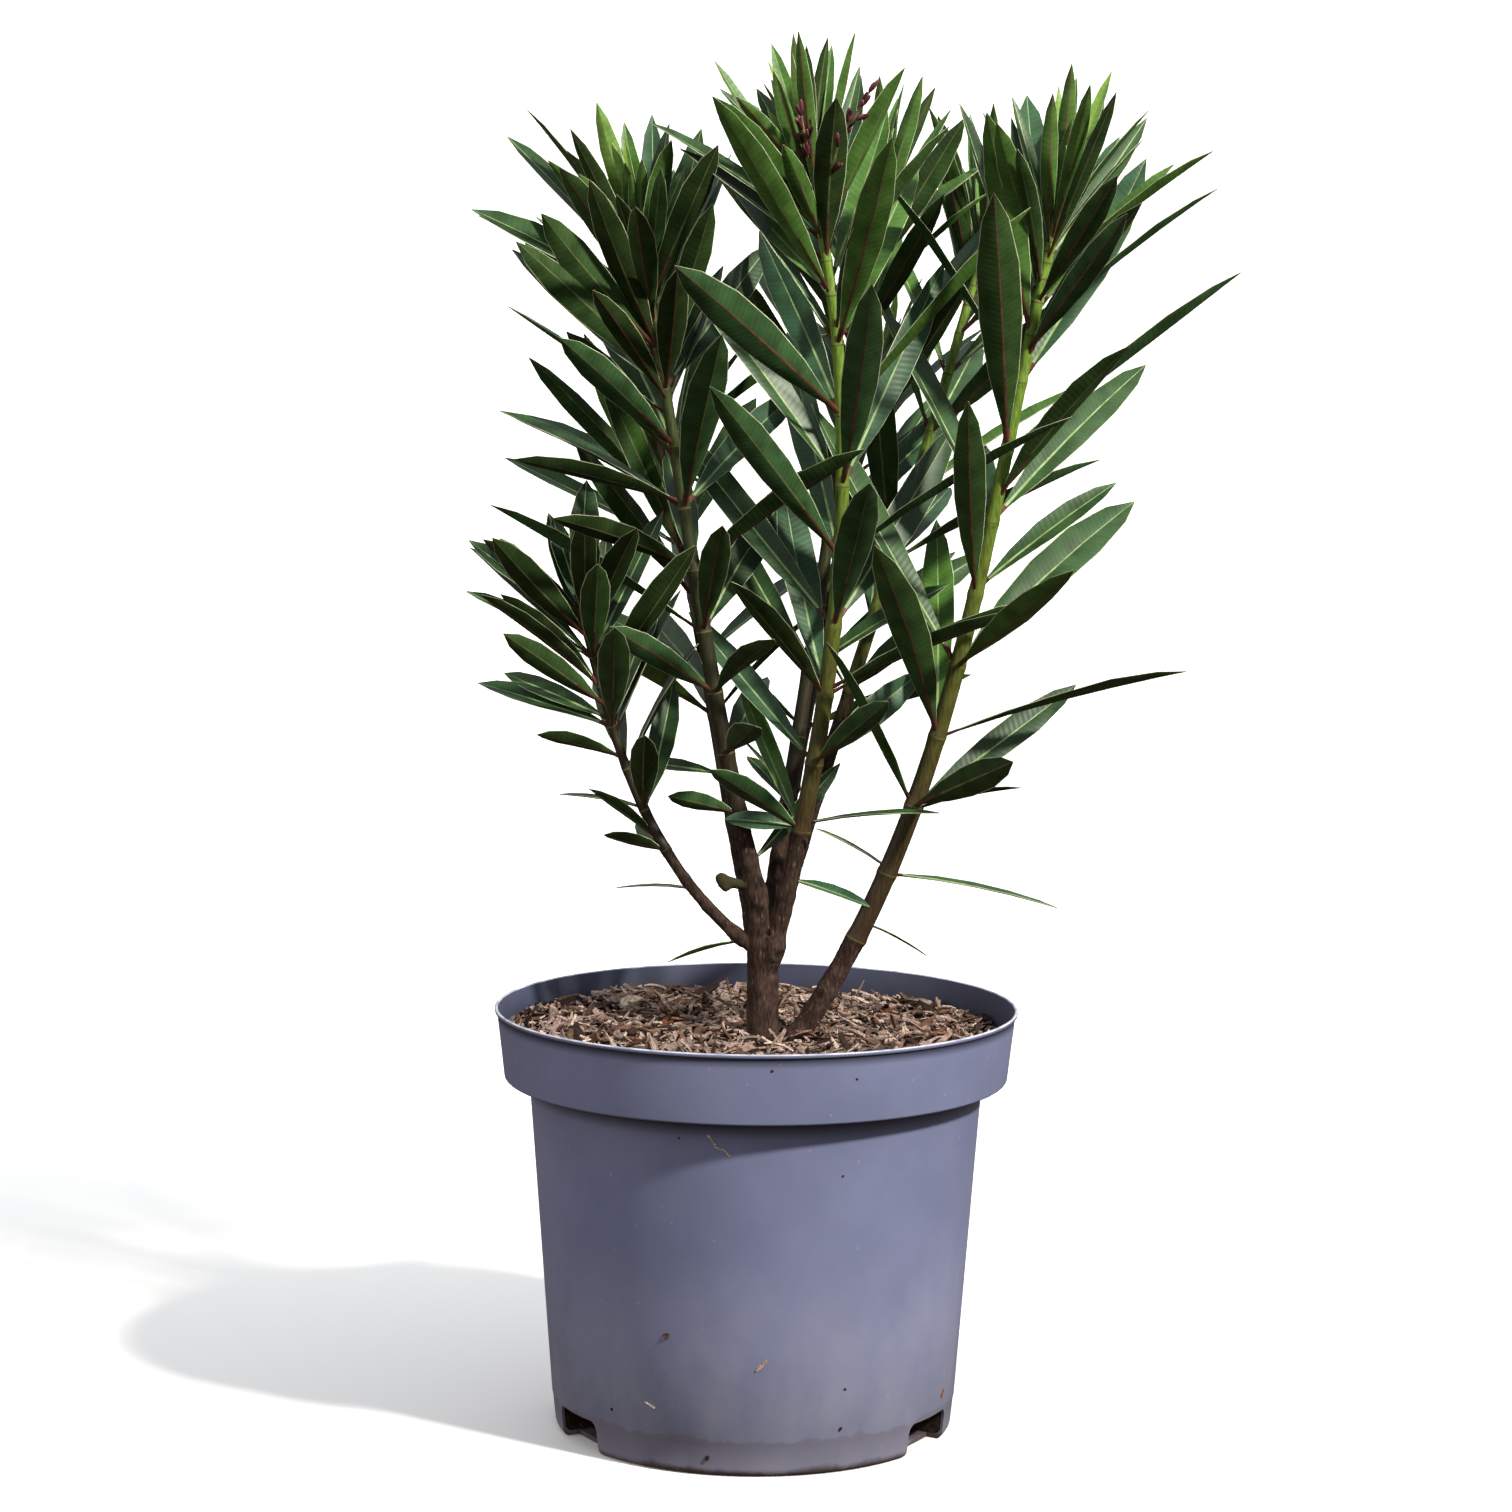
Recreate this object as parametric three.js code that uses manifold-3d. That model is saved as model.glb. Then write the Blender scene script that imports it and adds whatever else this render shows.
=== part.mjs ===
// Potted oleander in its grey plastic nursery pot, in millimetres, +Z up.
// The origin is the centre of the pot's flat underside, +X is right and +Y is back.
import * as THREE from "three";
import { mergeVertices } from "three/addons/utils/BufferGeometryUtils.js";
import Module from "manifold-3d";

const wasm = await Module();
wasm.setup();

// Gap that parts which touch keep to each other
const clearance = 0.3;

// Pot: a standard ten litre container
const rimRadius = 140;
const rimHeight = 227.5;
const rimRound = 0.8;
const collarFoot = 190;
const collarFootRadius = 134.8;
const bodyTopRadius = 121.4;
const bodyFootRadius = 107.4;
const footRadius = 103;
const footRound = 5;
const wall = 1.8;
const floorThickness = 2.6;
const potSides = 48;

// Drainage notches cut through the foot, evenly round it, one of them straight behind
const notchCount = 3;
const notchWidth = 40;
const notchHeight = 18;
const notchCorner = 5;
const notchReach = 12;
const pocketReach = 22;

// Compost under bark mulch, whose top is the ground that the plant stands in
const groundLevel = 210;
const mulchSides = 32;
const mulchRings = [36, 62, 90, 116];
const mulchWave = 1.6;
const mulchRise = 2.4;
const mulchEdge = { height: 4, inset: 2 };

// Trunk: its middle line, measured from the ground, and a pruned stub low on its left
const trunkLine = [[3.2, 0, 0], [3.4, -0.6, 28], [3.8, -0.8, 52], [1.5, -2, 75]];
const trunkRadius = 8.6;
const forkRadius = 6.4;
const forkStart = 46;
const flareWidth = 1.2;
const flareHeight = 9;
const trunkSides = 12;
const stub = { from: [-1, -3, 82], to: [-20.5, -4, 85.5], radius: 3.1 };

// Limbs: each one's curve is its foot, two handles and growing tip, measured from the
// ground. The trunk's own wood runs up a limb as far as collar, and its mass of foliage
// starts at leafy. The lowest whorl is at first, gap is the distance between whorls, turn
// is the lowest one's bearing, and open and size scale the leaves' angle and length.
const limbs = [
  {
    name: "centre", line: [[7.1, -4.3, 42.9], [39.9, -16.9, 175.5], [57.9, -30.6, 318.7], [24.3, -43.5, 453.7]],
    foot: 5.4, tip: 2.4, collar: 44, leafy: 68, first: 36, gap: 37, size: 1.04, open: 0.94, turn: 48, seed: 27588,
    flowering: true,
  },
  {
    name: "right", line: [[21, -4, 0], [106.9, -10.4, 130.3], [118.7, -19.2, 285.3], [150.8, -27.6, 432.4]],
    foot: 6, tip: 2.6, collar: 0, leafy: 58, first: 64, gap: 39, size: 1.15, open: 0.98, turn: 45, seed: 21826,
  },
  {
    name: "left", line: [[1.5, -2.2, 72.2], [-27.9, -5.9, 184.4], [-41.1, -9.8, 301.2], [-62.9, -13.5, 415.5]],
    foot: 5.2, tip: 2.2, collar: 20, leafy: 45, first: 51, gap: 33, size: 0.98, open: 1.17, turn: 105, seed: 41717,
  },
  {
    name: "left_low", line: [[-5.3, -2, 51.6], [-63.7, -2, 97.7], [-81, -2, 171.2], [-96.7, -2, 239.7]],
    foot: 3.5, tip: 1.8, collar: 14, leafy: 59, first: 67, gap: 24, size: 0.73, open: 1.03, turn: 99, seed: 79275,
  },
  {
    name: "centre_back", line: [[5.8, 6.7, 65.5], [26.9, 23.3, 189.5], [42.2, 40, 314.6], [60.8, 56.6, 439.3]],
    foot: 4.5, tip: 2.2, collar: 20, leafy: 52, first: 61, gap: 36, size: 0.99, open: 0.86, turn: 16, seed: 79394,
    flowering: true,
  },
  {
    name: "right_back", line: [[9.7, 9, 57], [42, 36, 165], [88, 62, 300], [121.3, 85.4, 427.1]],
    foot: 4.6, tip: 2.2, collar: 24, leafy: 127, first: 136, gap: 37, size: 0.98, open: 0.89, turn: 83, seed: 2577,
  },
  {
    name: "left_back", line: [[-1, 9.5, 54], [-22, 44, 140], [-34, 78, 234], [-59, 108.8, 321.5]],
    foot: 4.2, tip: 2, collar: 20, leafy: 82, first: 91, gap: 34, size: 0.91, open: 0.95, turn: 36, seed: 89922,
  },
  {
    name: "back", line: [[3, 9, 48], [20, 52, 130], [36, 94, 230], [62, 122, 338]],
    foot: 4.4, tip: 2, collar: 26, leafy: 83, first: 92, gap: 35, size: 1.07, open: 0.95, turn: 25, seed: 9386,
  },
];

// Limbs and leaves in general
const rootInset = 8;
const limbSides = 8;
const shootSides = 6;
const limbStep = 34;
const blade = { sides: 4, thickness: 1.6, leastWidth: 9.2, widthByLength: 0.1, topWidth: 0.62, heartWidth: 9.5 };
const bladeRings = [{ at: 0.33, width: 0.93 }, { at: 0.68, width: 0.86 }];
const angleAlong = [[0, 60], [0.3, 51], [0.55, 46], [0.8, 40], [0.92, 33], [1, 18]];
const lengthAlong = [[0, 58], [0.15, 92], [0.35, 122], [0.6, 130], [0.85, 112], [0.95, 82], [1, 62]];
const whorl = { leaves: 3, turn: 60, closing: 0.3, leastGap: 5, end: 3 };
const swing = { bearing: 15, angle: 11, length: 0.16, bend: 0.07, twist: 24 };
const droop = -0.02;
// Degrees by which a blade turns its flat side to the light, which comes from the front
const facing = 40;
const thinFoot = { below: 0.12, lost: 0.35 };
const topStart = 0.93;
const heart = { leaves: 4, turn: 90, angle: 7, spread: 2.5, length: 74, step: 8, sunk: 5 };
const heartSwing = { bearing: 24, angle: 4, length: 0.12, twist: 30 };
const buds = { count: 6, first: 14, step: 4, length: 15, width: 4.6, stalk: 1.1, turn: 137.5, angle: 24 };

// Room that a leaf keeps to the leaves and limbs of the other shoots, and to the rim
const leafRoom = 2;
const limbRoom = 1.2;
const leastHeight = 22;
const turnsToTry = [0, 14, -14, 28, -28, 42, -42];
const checkStep = 24;

function mix(a, b, t) {
  return a + (b - a) * t;
}

// The value at u on a broken line through the stops
function valueAt(stops, u) {
  for (let i = 1; i < stops.length; i += 1) {
    const [fromU, fromValue] = stops[i - 1];
    const [toU, toValue] = stops[i];
    if (u <= toU) return mix(fromValue, toValue, Math.max(0, (u - fromU) / (toU - fromU)));
  }
  return stops[stops.length - 1][1];
}

// Seeded draws, so that each shoot always grows the same way
function diceOf(seed) {
  let state = seed;
  const roll = () => {
    state = (state * 16807) % 2147483647;
    return state / 2147483647;
  };
  return { roll, swing: (amount) => (roll() * 2 - 1) * amount };
}

function radians(degrees) {
  return degrees * Math.PI / 180;
}

// Solids: corners merged, flat-out faces dropped and every face turned outwards
function solidOf(geometry) {
  const bare = geometry.clone();
  bare.deleteAttribute("normal");
  bare.deleteAttribute("uv");
  const merged = mergeVertices(bare);
  const place = merged.attributes.position;
  const corner = (i) => new THREE.Vector3().fromBufferAttribute(place, i);
  const faces = [];
  let volume = 0;
  for (let i = 0; i < merged.index.count; i += 3) {
    const [a, b, c] = [0, 1, 2].map((k) => merged.index.getX(i + k));
    if (a === b || b === c || c === a) continue;
    volume += corner(a).dot(corner(b).cross(corner(c)));
    faces.push([a, b, c]);
  }
  const outward = volume < 0 ? faces.map(([a, b, c]) => [b, a, c]) : faces;
  return new wasm.Manifold(new wasm.Mesh({
    numProp: 3,
    vertProperties: new Float32Array(place.array),
    triVerts: new Uint32Array(outward.flat()),
  }));
}

// The one body of a joined solid, with sealed hollows filled and loose scraps dropped
function oneBody(solid) {
  const bodies = solid.decompose();
  return bodies.reduce((largest, body) => (body.volume() > largest.volume() ? body : largest));
}

function geometryOf(solid) {
  const mesh = solid.getMesh();
  const geometry = new THREE.BufferGeometry();
  geometry.setAttribute("position", new THREE.BufferAttribute(new Float32Array(mesh.vertProperties), 3));
  geometry.setIndex(new THREE.BufferAttribute(new Uint32Array(mesh.triVerts), 1));
  geometry.computeVertexNormals();
  return geometry;
}

function meshOf(name, solid, colour, roughness) {
  const material = new THREE.MeshStandardMaterial({ color: colour, roughness, metalness: 0 });
  const mesh = new THREE.Mesh(geometryOf(solid), material);
  mesh.name = name;
  return mesh;
}

function turned(profile, sides) {
  const points = profile.map(([radius, height]) => new THREE.Vector2(radius, height));
  return new THREE.LatheGeometry(points, sides).rotateX(Math.PI / 2);
}

// Radius of the pot's inside at a height
function insideRadius(height) {
  if (height < collarFoot + wall) {
    return mix(bodyFootRadius, bodyTopRadius, (height - footRound) / (collarFoot - footRound)) - wall;
  }
  return mix(collarFootRadius, rimRadius, (height - collarFoot) / (rimHeight - collarFoot)) - wall;
}

// A notch with chamfered upper corners, cut from outside the wall to reach inside it
function notchCutter(reach, index) {
  const half = notchWidth / 2;
  const outline = new THREE.Shape([
    new THREE.Vector2(-half, -footRound),
    new THREE.Vector2(half, -footRound),
    new THREE.Vector2(half, notchHeight - notchCorner),
    new THREE.Vector2(half - notchCorner, notchHeight),
    new THREE.Vector2(notchCorner - half, notchHeight),
    new THREE.Vector2(-half, notchHeight - notchCorner),
  ]);
  const cutter = new THREE.ExtrudeGeometry(outline, { depth: reach + footRound, bevelEnabled: false });
  cutter.translate(0, 0, bodyFootRadius - reach);
  cutter.rotateX(Math.PI / 2).rotateZ(Math.PI + index * 2 * Math.PI / notchCount);
  return solidOf(cutter);
}

function potSolid() {
  const foot = [0, 30, 60, 90].map((degrees) => [
    mix(footRadius, bodyFootRadius, Math.sin(radians(degrees))),
    footRound * (1 - Math.cos(radians(degrees))),
  ]);
  const step = collarFoot + wall;
  let pot = solidOf(turned([
    [0, 0],
    ...foot,
    [bodyTopRadius, collarFoot],
    [collarFootRadius - rimRound, collarFoot],
    [collarFootRadius, collarFoot + rimRound],
    [rimRadius, rimHeight - rimRound],
    [rimRadius - rimRound, rimHeight],
    [rimRadius - wall, rimHeight],
    [collarFootRadius - wall, step],
    [bodyTopRadius - wall, step],
    [bodyFootRadius - wall, footRound],
    [footRadius, floorThickness],
    [0, floorThickness],
  ], potSides));
  for (let i = 0; i < notchCount; i += 1) pot = pot.subtract(notchCutter(notchReach, i));
  return pot;
}

// Height of the mulch above the ground level: flat round the stems, higher at the back left
function mulchHeight(x, y) {
  const away = THREE.MathUtils.smoothstep(Math.hypot(x, y), mulchRings[0], mulchRings[1]);
  const wave = mulchWave * Math.sin(x / 13 + 1) * Math.cos(y / 16);
  return away * (wave + mulchRise * (y - x) / rimRadius);
}

function mulchSolid() {
  const bottom = floorThickness + clearance;
  const step = collarFoot + wall + clearance;
  const edge = insideRadius(groundLevel - mulchEdge.height) - clearance * 2;
  const fill = turned([
    [0, bottom],
    [footRadius - clearance * 2, bottom],
    [bodyFootRadius - wall - clearance * 2, footRound + clearance],
    [bodyTopRadius - wall - clearance * 2, step],
    [collarFootRadius - wall - clearance, step],
    [edge, groundLevel - mulchEdge.height],
    [edge - mulchEdge.inset, groundLevel],
    ...mulchRings.map((radius) => [radius, groundLevel]).reverse(),
    [0, groundLevel],
  ], mulchSides);
  const place = fill.attributes.position;
  for (let i = 0; i < place.count; i += 1) {
    if (place.getZ(i) > groundLevel - 1) place.setZ(i, groundLevel + mulchHeight(place.getX(i), place.getY(i)));
  }
  let mulch = solidOf(fill);
  for (let i = 0; i < notchCount; i += 1) mulch = mulch.subtract(notchCutter(pocketReach, i));
  return mulch;
}

// A limb's middle line, straight on past its two ends
function lineOf(points) {
  const curve = new THREE.CubicBezierCurve3(...points.map((point) => new THREE.Vector3(...point)));
  const length = curve.getLength();
  const at = (station) => {
    const u = THREE.MathUtils.clamp(station / length, 0, 1);
    const ahead = curve.getTangentAt(u);
    const point = curve.getPointAt(u).addScaledVector(ahead, station - u * length);
    return { point, ahead };
  };
  return { length, at };
}

// The direction across a limb that is nearest to +X
function acrossOf(ahead) {
  return new THREE.Vector3(1, 0, 0).addScaledVector(ahead, -ahead.x).normalize();
}

// A rod bent along a line between two stations, with its own radius at each
function rodSolid(line, from, to, radiusAt, sides, step) {
  const rows = Math.max(1, Math.round((to - from) / step));
  const rod = new THREE.CylinderGeometry(1, 1, 1, sides, rows);
  const place = rod.attributes.position;
  for (let i = 0; i < place.count; i += 1) {
    const station = mix(from, to, place.getY(i) + 0.5);
    const { point, ahead } = line.at(station);
    const across = acrossOf(ahead);
    const over = across.clone().cross(ahead);
    const radius = radiusAt(station);
    point.addScaledVector(across, place.getX(i) * radius).addScaledVector(over, place.getZ(i) * radius);
    place.setXYZ(i, point.x, point.y, point.z);
  }
  return solidOf(rod);
}

// Everything under the ground, with the gap above it
function underground() {
  const size = rimRadius;
  const block = new THREE.BoxGeometry(size, size, size);
  return solidOf(block.translate(0, 0, clearance - size / 2));
}

function trunkRadiusAt(station) {
  const fork = THREE.MathUtils.smoothstep(station, forkStart, trunk.length);
  const flare = Math.max(0, 1 - station / flareHeight) ** 2 * flareWidth;
  return mix(trunkRadius, forkRadius, fork) + flare;
}

const trunk = lineOf(trunkLine);
for (const limb of limbs) {
  limb.path = lineOf(limb.line);
  limb.radiusAt = (station) => mix(limb.foot, limb.tip, THREE.MathUtils.clamp(station / limb.path.length, 0, 1));
}

// The trunk with the feet of its boughs and its pruned stub, cut flat at the ground
function trunkSolid() {
  let wood = rodSolid(trunk, -rootInset, trunk.length, trunkRadiusAt, trunkSides, flareHeight);
  for (const limb of limbs.filter((each) => each.collar > 0)) {
    wood = wood.add(rodSolid(limb.path, -rootInset, limb.collar, limb.radiusAt, limbSides, limbStep / 2));
  }
  const [from, to] = [stub.from, stub.to].map((point) => new THREE.Vector3(...point));
  const snag = new THREE.CylinderGeometry(stub.radius, stub.radius, from.distanceTo(to), shootSides);
  snag.applyQuaternion(new THREE.Quaternion().setFromUnitVectors(
    new THREE.Vector3(0, 1, 0),
    to.clone().sub(from).normalize(),
  ));
  const middle = from.lerp(to, 0.5);
  return wood.add(solidOf(snag.translate(middle.x, middle.y, middle.z))).subtract(underground());
}

// The bare wood of a limb, up to its lowest leaves
function boughSolid(limb) {
  const from = limb.collar > 0 ? limb.collar + clearance : -rootInset;
  const bough = rodSolid(limb.path, from, limb.leafy, limb.radiusAt, limbSides, limbStep);
  return limb.collar > 0 ? bough : bough.subtract(underground());
}

// A leaf from its place on the shoot, its bearing round it and its angle away from it
function leafFrom({ point, ahead }, { bearing, angle, length, width, bend, twist }) {
  const across = acrossOf(ahead);
  const back = ahead.clone().cross(across);
  const out = across.multiplyScalar(Math.cos(radians(bearing))).addScaledVector(back, Math.sin(radians(bearing)));
  const lean = radians(angle);
  const along = ahead.clone().multiplyScalar(Math.cos(lean)).addScaledVector(out, Math.sin(lean));
  const inward = ahead.clone().multiplyScalar(Math.sin(lean)).addScaledVector(out, -Math.cos(lean));
  const flat = along.clone().cross(inward);
  const face = inward.clone().multiplyScalar(Math.cos(radians(twist))).addScaledVector(flat, Math.sin(radians(twist)));
  const side = along.clone().cross(face);
  const midrib = (t) => point.clone()
    .addScaledVector(along, length * t)
    .addScaledVector(inward, length * bend * t * t);
  return { width, face, side, midrib };
}

// Whorls of three leaves, each turned on from the last, closing up towards the tip
function whorlsOf(limb) {
  const dice = diceOf(limb.seed);
  const top = limb.path.length;
  const leaves = [];
  let station = limb.first;
  for (let k = 0; station < top - whorl.end; k += 1) {
    const u = (station - limb.first) / (top - limb.first);
    for (let j = 0; j < whorl.leaves; j += 1) {
      const bearing = limb.turn + whorl.turn * k + 360 / whorl.leaves * j + dice.swing(swing.bearing);
      const angle = valueAt(angleAlong, u) * limb.open + dice.swing(swing.angle);
      const length = valueAt(lengthAlong, u) * limb.size * (1 + dice.swing(swing.length));
      const bend = dice.swing(swing.bend) + droop;
      const twist = facing * Math.sin(2 * radians(bearing)) + dice.swing(swing.twist);
      const luck = dice.roll();
      const full = blade.leastWidth + blade.widthByLength * length;
      const width = u > topStart ? full * blade.topWidth : full;
      if (station < limb.leafy || (u < thinFoot.below && luck < thinFoot.lost)) continue;
      leaves.push({ station, bearing, angle, length, width, bend, twist });
    }
    station += Math.min(limb.gap, Math.max(whorl.leastGap, (top - station) * whorl.closing));
  }
  for (let j = 0; j < heart.leaves; j += 1) {
    const bearing = limb.turn + heart.turn * j + dice.swing(heartSwing.bearing);
    const angle = heart.angle + heart.spread * j + dice.swing(heartSwing.angle);
    const length = (heart.length - heart.step * j) * limb.size * (1 + dice.swing(heartSwing.length));
    const twist = dice.swing(heartSwing.twist);
    leaves.push({ station: top - heart.sunk, bearing, angle, length, width: blade.heartWidth, bend: droop, twist });
  }
  return leaves;
}

// The corners, flat faces and edges that stand for a leaf when its room is looked at
function outlineOf(leaf) {
  const corners = [leaf.midrib(0)];
  for (const ring of bladeRings) {
    const middle = leaf.midrib(ring.at);
    const half = ring.width * leaf.width / 2;
    corners.push(middle.clone().addScaledVector(leaf.side, half));
    corners.push(middle.clone().addScaledVector(leaf.side, -half));
  }
  corners.push(leaf.midrib(1));
  const faces = [[0, 1, 2], [1, 2, 4], [1, 4, 3], [3, 4, 5]].map((face) => face.map((i) => corners[i]));
  const edges = [[0, 1], [0, 2], [1, 2], [1, 3], [2, 4], [1, 4], [3, 4], [3, 5], [4, 5]];
  return {
    corners,
    faces,
    edges: edges.map((edge) => edge.map((i) => corners[i])),
    walls: faces.map((face) => wallsOf(face, leafRoom)),
    box: new THREE.Box3().setFromPoints(corners).expandByScalar(leafRoom / 2),
  };
}

// The five planes round a triangle that has been thickened and widened by the room
function wallsOf([a, b, c], room) {
  const up = b.clone().sub(a).cross(c.clone().sub(a)).normalize();
  const walls = [[up, room - up.dot(a)], [up.clone().negate(), room + up.dot(a)]];
  for (const [from, to] of [[a, b], [b, c], [c, a]]) {
    const inward = up.clone().cross(to.clone().sub(from)).normalize();
    walls.push([inward, room - inward.dot(from)]);
  }
  return walls;
}

// Whether the line between two points passes through the space inside the walls
function meets([from, to], walls) {
  let low = 0;
  let high = 1;
  for (const [inward, offset] of walls) {
    const near = inward.dot(from) + offset;
    const far = inward.dot(to) + offset;
    if (near < 0 && far < 0) return false;
    if (near < 0) low = Math.max(low, near / (near - far));
    else if (far < 0) high = Math.min(high, near / (near - far));
    if (low > high) return false;
  }
  return true;
}

function leavesCross(a, b) {
  if (!a.box.intersectsBox(b.box)) return false;
  return a.edges.some((edge) => b.walls.some((walls) => meets(edge, walls)))
    || b.edges.some((edge) => a.walls.some((walls) => meets(edge, walls)));
}

function leafHitsRod(leaf, rod) {
  if (!leaf.box.intersectsBox(rod.box)) return false;
  return leaf.faces.some((face) => meets(rod.ends, wallsOf(face, rod.radius + limbRoom)));
}

// Straight lengths that stand for a limb when a leaf's room is looked at
function rodsOf(path, radiusAt) {
  const count = Math.round(path.length / checkStep);
  return Array.from({ length: count }, (_, i) => {
    const from = path.length * i / count;
    const ends = [from, path.length * (i + 1) / count].map((station) => path.at(station).point);
    const radius = radiusAt(from);
    return { ends, radius, box: new THREE.Box3().setFromPoints(ends).expandByScalar(radius + 1) };
  });
}

// Each shoot's leaves in turn: one that would touch another shoot is turned, or else skipped
function settleLeaves() {
  const taken = [];
  const rods = limbs.map((limb) => rodsOf(limb.path, limb.radiusAt));
  rods.push(rodsOf(trunk, trunkRadiusAt));
  limbs.forEach((limb, index) => {
    const others = rods.filter((_, i) => i !== index).flat();
    const settled = [];
    for (const plan of whorlsOf(limb)) {
      const node = limb.path.at(plan.station);
      for (const turn of turnsToTry) {
        const leaf = leafFrom(node, { ...plan, bearing: plan.bearing + turn });
        const outline = outlineOf(leaf);
        if (outline.corners.some((corner) => corner.z < leastHeight)) continue;
        if (others.some((rod) => leafHitsRod(outline, rod))) continue;
        if (taken.some((other) => leavesCross(outline, other))) continue;
        settled.push({ leaf, outline });
        break;
      }
    }
    limb.leaves = settled.map((each) => each.leaf);
    taken.push(...settled.map((each) => each.outline));
  });
}

// A blade of four long faces a side, from its root in the shoot to its pointed tip
function bladeSolid(leaf, thickness) {
  const rows = bladeRings.length + 1;
  const ball = new THREE.SphereGeometry(1, blade.sides, rows);
  const place = ball.attributes.position;
  for (let i = 0; i < place.count; i += 1) {
    const row = Math.round(Math.acos(THREE.MathUtils.clamp(place.getY(i), -1, 1)) / Math.PI * rows);
    const ring = bladeRings[row - 1];
    const point = leaf.midrib(ring ? ring.at : row / rows);
    if (ring) {
      const round = Math.hypot(place.getX(i), place.getZ(i));
      point.addScaledVector(leaf.side, place.getX(i) / round * ring.width * leaf.width / 2);
      point.addScaledVector(leaf.face, place.getZ(i) / round * thickness / 2);
    }
    place.setXYZ(i, point.x, point.y, point.z);
  }
  return solidOf(ball);
}

// Closed flower buds on a short stalk above the heart of a shoot
function budSolids(limb) {
  const top = limb.path.length;
  const end = top + buds.first + buds.step * (buds.count - 1);
  const parts = [rodSolid(limb.path, top - buds.first, end, () => buds.stalk, blade.sides, limbStep)];
  for (let j = 0; j < buds.count; j += 1) {
    const plan = { bearing: buds.turn * j, angle: buds.angle, length: buds.length, width: buds.width };
    const node = limb.path.at(top + buds.first + buds.step * j);
    parts.push(bladeSolid(leafFrom(node, { ...plan, bend: 0, twist: 0 }), buds.width));
  }
  return parts;
}

// One mass of foliage: the leafy end of a limb with its leaves and buds sunk into it
function foliageSolid(limb) {
  const parts = limb.leaves.map((leaf) => bladeSolid(leaf, blade.thickness));
  if (limb.flowering) parts.push(...budSolids(limb));
  const shoot = rodSolid(limb.path, limb.leafy + clearance, limb.path.length, limb.radiusAt, shootSides, limbStep);
  return oneBody(parts.reduce((whole, part) => whole.add(part), shoot));
}

settleLeaves();

const oleander = new THREE.Group();
oleander.name = "potted_oleander";
const container = new THREE.Group();
container.add(meshOf("pot", potSolid(), 0x74768a, 0.6));
container.add(meshOf("mulch", mulchSolid(), 0x8a705f, 0.95));
const plant = new THREE.Group();
plant.position.z = groundLevel;
plant.add(meshOf("trunk", trunkSolid(), 0x57443a, 0.85));
for (const limb of limbs) {
  const woodName = limb.collar > 0 ? `bough_${limb.name}` : `stem_${limb.name}`;
  plant.add(meshOf(woodName, boughSolid(limb), 0x5d5038, 0.8));
  plant.add(meshOf(`foliage_${limb.name}`, foliageSolid(limb), 0x34502c, 0.5));
}
oleander.add(container, plant);

export default oleander;
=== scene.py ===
import math

import bmesh
import bpy
import numpy as np
from mathutils import Matrix, Vector, noise


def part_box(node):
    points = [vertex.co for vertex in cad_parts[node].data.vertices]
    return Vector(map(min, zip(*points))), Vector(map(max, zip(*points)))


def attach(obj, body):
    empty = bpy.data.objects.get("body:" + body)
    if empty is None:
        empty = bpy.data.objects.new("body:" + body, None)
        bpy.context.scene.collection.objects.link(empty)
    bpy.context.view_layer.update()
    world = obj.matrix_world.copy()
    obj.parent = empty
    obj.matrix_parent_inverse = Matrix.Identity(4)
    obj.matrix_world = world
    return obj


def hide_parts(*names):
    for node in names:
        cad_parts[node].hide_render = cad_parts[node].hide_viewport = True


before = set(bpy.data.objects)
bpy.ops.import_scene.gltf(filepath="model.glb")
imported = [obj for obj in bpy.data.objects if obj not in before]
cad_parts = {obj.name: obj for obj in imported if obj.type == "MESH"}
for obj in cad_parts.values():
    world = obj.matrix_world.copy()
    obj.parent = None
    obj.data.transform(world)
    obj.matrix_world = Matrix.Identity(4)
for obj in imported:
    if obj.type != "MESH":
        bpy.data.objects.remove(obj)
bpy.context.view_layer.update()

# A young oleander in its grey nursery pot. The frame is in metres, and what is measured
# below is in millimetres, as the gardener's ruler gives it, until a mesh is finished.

mm = 0.001
scene = bpy.context.scene


# General helpers

def linearColour(hexValue):
    # "#rrggbb" as painted on a screen, turned to the linear colour that a shader takes
    parts = [int(hexValue[i:i + 2], 16) / 255 for i in (1, 3, 5)]
    return tuple(c / 12.92 if c <= 0.04045 else ((c + 0.055) / 1.055) ** 2.4 for c in parts) + (1.0,)


def addNode(owner, kind, settings=None):
    # A setting is a node's property, a socket's value, or the node or socket that feeds a socket,
    # and "stops" are a ramp's. A node feeds from its first output that is in use.
    tree = owner.node_tree
    node = tree.nodes.new("ShaderNode" + kind)
    for key, value in (settings or {}).items():
        if key == "stops":
            ramp = node.color_ramp
            while len(ramp.elements) < len(value):
                ramp.elements.new(0.5)
            for element, (position, hexValue) in zip(ramp.elements, value):
                element.position = position
                element.color = linearColour(hexValue)
        elif isinstance(value, bpy.types.Node):
            tree.links.new(next(socket for socket in value.outputs if socket.enabled), node.inputs[key])
        elif isinstance(value, bpy.types.NodeSocket):
            tree.links.new(value, node.inputs[key])
        elif isinstance(key, str) and hasattr(node, key):
            setattr(node, key, value)
        else:
            node.inputs[key].default_value = linearColour(value) if isinstance(value, str) else value
    return node


def cleared(owner):
    # a material or world with no nodes yet
    owner.use_nodes = True
    owner.node_tree.nodes.clear()
    return owner


def newMaterial(name):
    # an empty material, and the place on the piece that its patterns read
    material = cleared(bpy.data.materials.new(name))
    return material, addNode(material, "TexCoord").outputs["Object"]


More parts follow.
